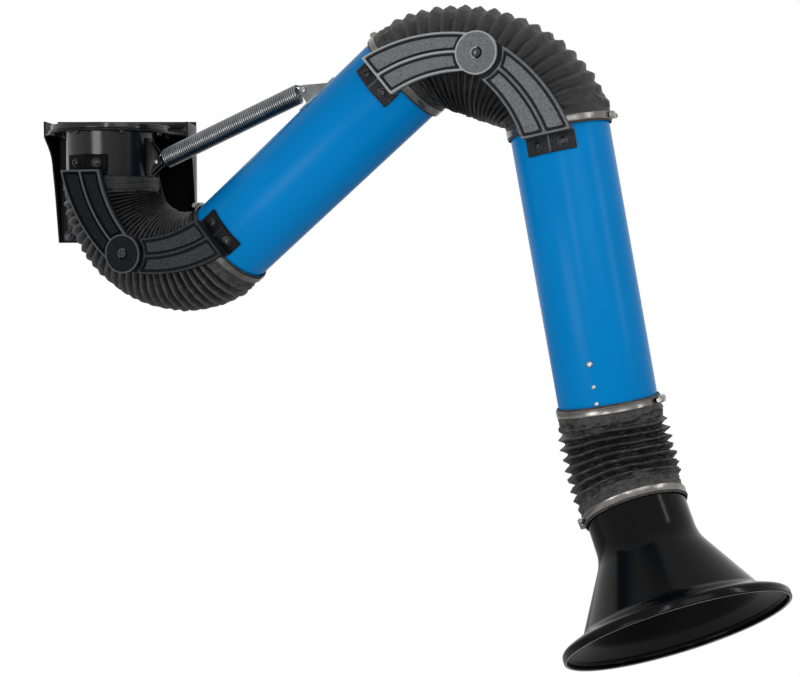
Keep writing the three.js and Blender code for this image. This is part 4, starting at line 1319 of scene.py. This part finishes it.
@dataclass
class Ducts:
    """The collar, the swivel ring and the two painted tubes."""

    flange_z: float = 0.1083
    flange_r: float = 0.122
    flange_thick: float = 0.0035
    ring_out: float = 0.135
    ring_recess: float = 0.124
    ring_low: float = 0.1123
    ring_top: float = 0.125
    ring_lip: float = 0.0057
    ring_bore: float = 0.099
    edge: float = 0.0006

    def build(self, fasteners: Fasteners) -> None:
        """Makes the ducts and their fasteners."""
        out, bore = ARM.tube_r, ARM.tube_r - ARM.tube_wall
        for node, body, matrix, drop, length in (
                ("boom_tube", "boom", ARM.boom, -ARM.drop, ARM.boom_length),
                ("forearm_tube", "forearm", ARM.forearm, ARM.drop, ARM.forearm_length)):
            low, high = ARM.reach - ARM.stub, ARM.reach + length + ARM.stub
            ring = eased([(bore, low), (out, low), (out, high), (bore, high)], self.edge, 2)
            piece = Shape().turned(ring, 192, at=(0, 0, drop)).object(f"{node}_painted", matrix)
            dressed(piece, BLUE, body, [node])
        upright = ARM.swivel @ Matrix.Rotation(math.radians(-90), 4, "Y")
        flange, top = self.flange_z, self.flange_z + self.flange_thick
        collar = [(bore, -ARM.stub), (out, -ARM.stub), (out, flange), (self.flange_r, flange), (self.flange_r, top), (bore, top)]
        dressed(Shape().turned(eased(collar, self.edge, 2), 160).object("swivel_collar_painted", upright), GLOSS, "swivel", ["swivel_collar"])
        axis = Matrix.Translation((0, -ARM.swivel_out, 0)) @ Matrix.Rotation(math.radians(-90), 4, "Y")
        ring = [(self.ring_recess, self.ring_low), (self.ring_out, self.ring_low), (self.ring_out, self.ring_top),
                (self.ring_bore, self.ring_top), (self.ring_bore, self.ring_top - self.ring_lip), (self.ring_recess, self.ring_top - self.ring_lip)]
        dressed(Shape().turned(eased(ring, 0.0015), 160).object("swivel_ring_painted", axis), GLOSS, "bracket", ["swivel_ring"])
        self.fasten(fasteners)

    def fasten(self, fasteners: Fasteners) -> None:
        """Sets the ring bolts with their nuts and the forearm's screws and rivets."""
        under: list[tuple[Vector, Vector]] = []
        for i in range(8):
            angle = math.radians(22.5 + 45 * i)
            spot = Vector((0.1295 * math.cos(angle), 0.1295 * math.sin(angle) - ARM.swivel_out, 0))
            under.append((spot + Z * 0.107, -Z))
        fasteners.set("ring_nuts", "bracket", Screw(0.0055, 0.006, 0.0026, 0.008), under, DARK_STEEL)
        large: list[tuple[Vector, Vector]] = []
        small: list[tuple[Vector, Vector]] = []
        for side in Side:
            for x, group in ((0.647, large), (0.693, small), (0.727, small)):
                at = ARM.forearm @ Vector((x, side.value * ARM.tube_r, ARM.drop))
                group.append((at, ARM.forearm.to_3x3() @ (Y * side.value)))
        fasteners.set("forearm_screws", "forearm", Screw(0.0064, 0.0042, 0.003), large, ZINC)
        fasteners.set("forearm_rivets", "forearm", Screw(0.0044, 0.0022, 0.0018), small, ZINC)


def build_bracket() -> None:
    """Dresses the wall bracket, its bolts and the pieces inside the joints."""
    dressed(refined("wall_bracket", 0.0012), BLACK, "bracket", ["wall_bracket"])
    edge = eased([(-0.0048, 0.1425), (-0.0002, 0.1425), (-0.0002, 0.151), (-0.0048, 0.151)], 0.001)
    dressed(Shape().bar(edge, -0.1698, 0.1698, 0.001).object("bracket_top_edge", Matrix.Identity(4)), BLACK, "bracket")
    for i in range(1, 5):
        node = f"wall_bolt_{i}"
        dressed(refined(node, 0.0007), DARK_STEEL, "bracket", [node])
    for node, body in (("hood_support_bar", "forearm"), ("hood_stem", "hood_turn"), ("hood_stem_nut", "hood_turn"),
                       ("hood_tilt_pin", "hood_turn"), ("hood_spider", "hood")):
        dressed(refined(node, 0.0007), ZINC, body, [node])
    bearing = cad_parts["bearing_ring"].data.materials
    bearing.clear()
    bearing.append(SLIP.material())


# Hood


@dataclass
class Hood:
    """Moulded cone with a collar neck, a brim and a rolled rim, about X from the tilt axis."""

    wall: float = 0.003
    neck: float = 0.077
    cone_end: float = 0.212
    cone_r: float = 0.179
    brim_end: float = 0.236
    rim_r: float = 0.228
    mouth: float = 0.250
    roll: float = 0.005
    lip: float = 0.0012
    lip_inset: float = 0.001

    def build(self) -> None:
        """Makes the hood and the pale bead on its lip, a painted highlight."""
        base = ARM.hood_reach
        out, bore = ARM.tube_r, ARM.tube_r - self.wall
        ring = [(bore, -ARM.stub), (out, -ARM.stub), (out, self.neck), (self.cone_r, self.cone_end),
                (self.rim_r - self.roll, self.brim_end - self.roll), (self.rim_r, self.brim_end), (self.rim_r, self.mouth),
                (self.rim_r - self.roll, self.mouth), (self.rim_r - self.roll, self.brim_end + 0.001),
                (self.cone_r - self.wall, self.cone_end + self.wall), (bore, self.neck + self.wall / 2)]
        profile = [(r, l + base) for r, l in eased(ring, 0.004, 7, {2: 0.022, 3: 0.008, 9: 0.008, 10: 0.022})]
        dressed(Shape().turned(profile, 224).object("hood_shell_moulded", ARM.hood, 50.0), HOOD_BLACK, "hood", ["hood_shell"])
        # Thin pale bead along the mouth's inner edge, a painted highlight.
        middle = (self.rim_r - self.roll + self.lip_inset, base + self.mouth - self.lip_inset)
        bead = [(middle[0] + self.lip * math.cos(a), middle[1] + self.lip * math.sin(a))
                for a in np.linspace(0, 2 * math.pi, 12, endpoint=False)]
        dressed(Shape().turned(bead, 224).object("hood_lip", ARM.hood, 50.0), LIP_HIGHLIGHT, "hood")


# Stage


LAMPS = (("key", (1.7, -3.0, 0.7), (1.4, 1.4), 14), ("fill", (-1.3, -3.0, -0.75), (1.2, 1.2), 32),
         ("top", (0.9, -0.8, 2.4), (1.6, 1.6), 2), ("left_strip", (0.2, -3.3, 0.4), (0.16, 1.4), 14),
         ("right_strip", (2.7, -1.5, 0.4), (0.16, 1.4), 9))


def build_stage() -> None:
    """Makes the camera, the floor, the lamps and the pale surroundings."""
    scene = bpy.context.scene
    scene.view_settings.view_transform = "Standard"
    lens = bpy.data.cameras.new("camera")
    lens.lens, lens.sensor_width = 60.49, 36.0
    camera = bpy.data.objects.new("camera", lens)
    camera.location = (0.6696, -3.3313, -0.1222)
    camera.rotation_euler = (math.radians(90 - 4.46), 0, 0)
    scene.collection.objects.link(camera)
    scene.camera = camera

    white = bpy.data.materials.new("pale_floor")
    white.use_nodes = True
    nodes = NodeSet(white.node_tree)
    shader = white.node_tree.nodes["Principled BSDF"]
    shader.inputs["Base Color"].default_value = (0.82, 0.82, 0.82, 1)
    shader.inputs["Roughness"].default_value = 0.9
    glow = nodes.add("ShaderNodeEmission", {"Color": (1, 1, 1, 1), "Strength": 1.0})
    place = nodes.add("ShaderNodeTexCoord").outputs["Object"]
    away = nodes.add("ShaderNodeVectorMath", {0: place, 1: (0.7, -0.5, 0)}, operation="DISTANCE").outputs["Value"]
    fade = nodes.add("ShaderNodeMapRange", {"Value": away, "From Min": 0.6, "From Max": 2.0, "To Min": 0.8, "To Max": 1.0})
    seen = nodes.math("MULTIPLY", nodes.add("ShaderNodeLightPath").outputs["Is Camera Ray"], fade.outputs["Result"])
    mixed = nodes.add("ShaderNodeMixShader", {0: seen, 1: shader.outputs[0], 2: glow.outputs[0]})
    white.node_tree.links.new(mixed.outputs[0], white.node_tree.nodes["Material Output"].inputs["Surface"])
    floor = Shape()
    low, far = CAD_BOX[0].z - 0.75, 6.0
    floor.points = [(-far, -far, low), (far, -far, low), (far, far, low), (-far, far, low)]
    floor.faces = [(0, 1, 2, 3)]
    ground = floor.object("floor", Matrix.Identity(4))
    ground.data.materials.append(white)

    world = bpy.data.worlds.new("surroundings")
    world.use_nodes = True
    scene.world = world
    nodes = NodeSet(world.node_tree)
    path = nodes.add("ShaderNodeLightPath").outputs
    shown = nodes.math("MAXIMUM", nodes.math("MAXIMUM", path["Is Camera Ray"], path["Is Glossy Ray"]), path["Is Transmission Ray"])
    back = world.node_tree.nodes["Background"]
    strength = nodes.math("ADD", nodes.math("MULTIPLY", shown, 0.6), 0.4)
    back.inputs["Color"].default_value = (1, 1, 1, 1)
    world.node_tree.links.new(strength, back.inputs["Strength"])

    for name, at, size, power in LAMPS:
        lamp = bpy.data.lights.new(name, "AREA")
        lamp.shape = "RECTANGLE"
        lamp.size, lamp.size_y = size
        lamp.energy = power
        lit = bpy.data.objects.new(name, lamp)
        lit.location = at
        lit.rotation_euler = (Vector((0.6, -0.4, -0.1)) - Vector(at)).to_track_quat("-Z", "Y").to_euler()
        scene.collection.objects.link(lit)


def main() -> None:
    """Builds and dresses the arm in order."""
    logging.basicConfig(level=logging.INFO, format="%(message)s")
    build_stage()
    fasteners = Fasteners()
    build_hoses()
    BalanceSpring().build()
    build_links(fasteners)
    build_clamps()
    Ducts().build(fasteners)
    build_bracket()
    Hood().build()


if __name__ == "__main__":
    main()
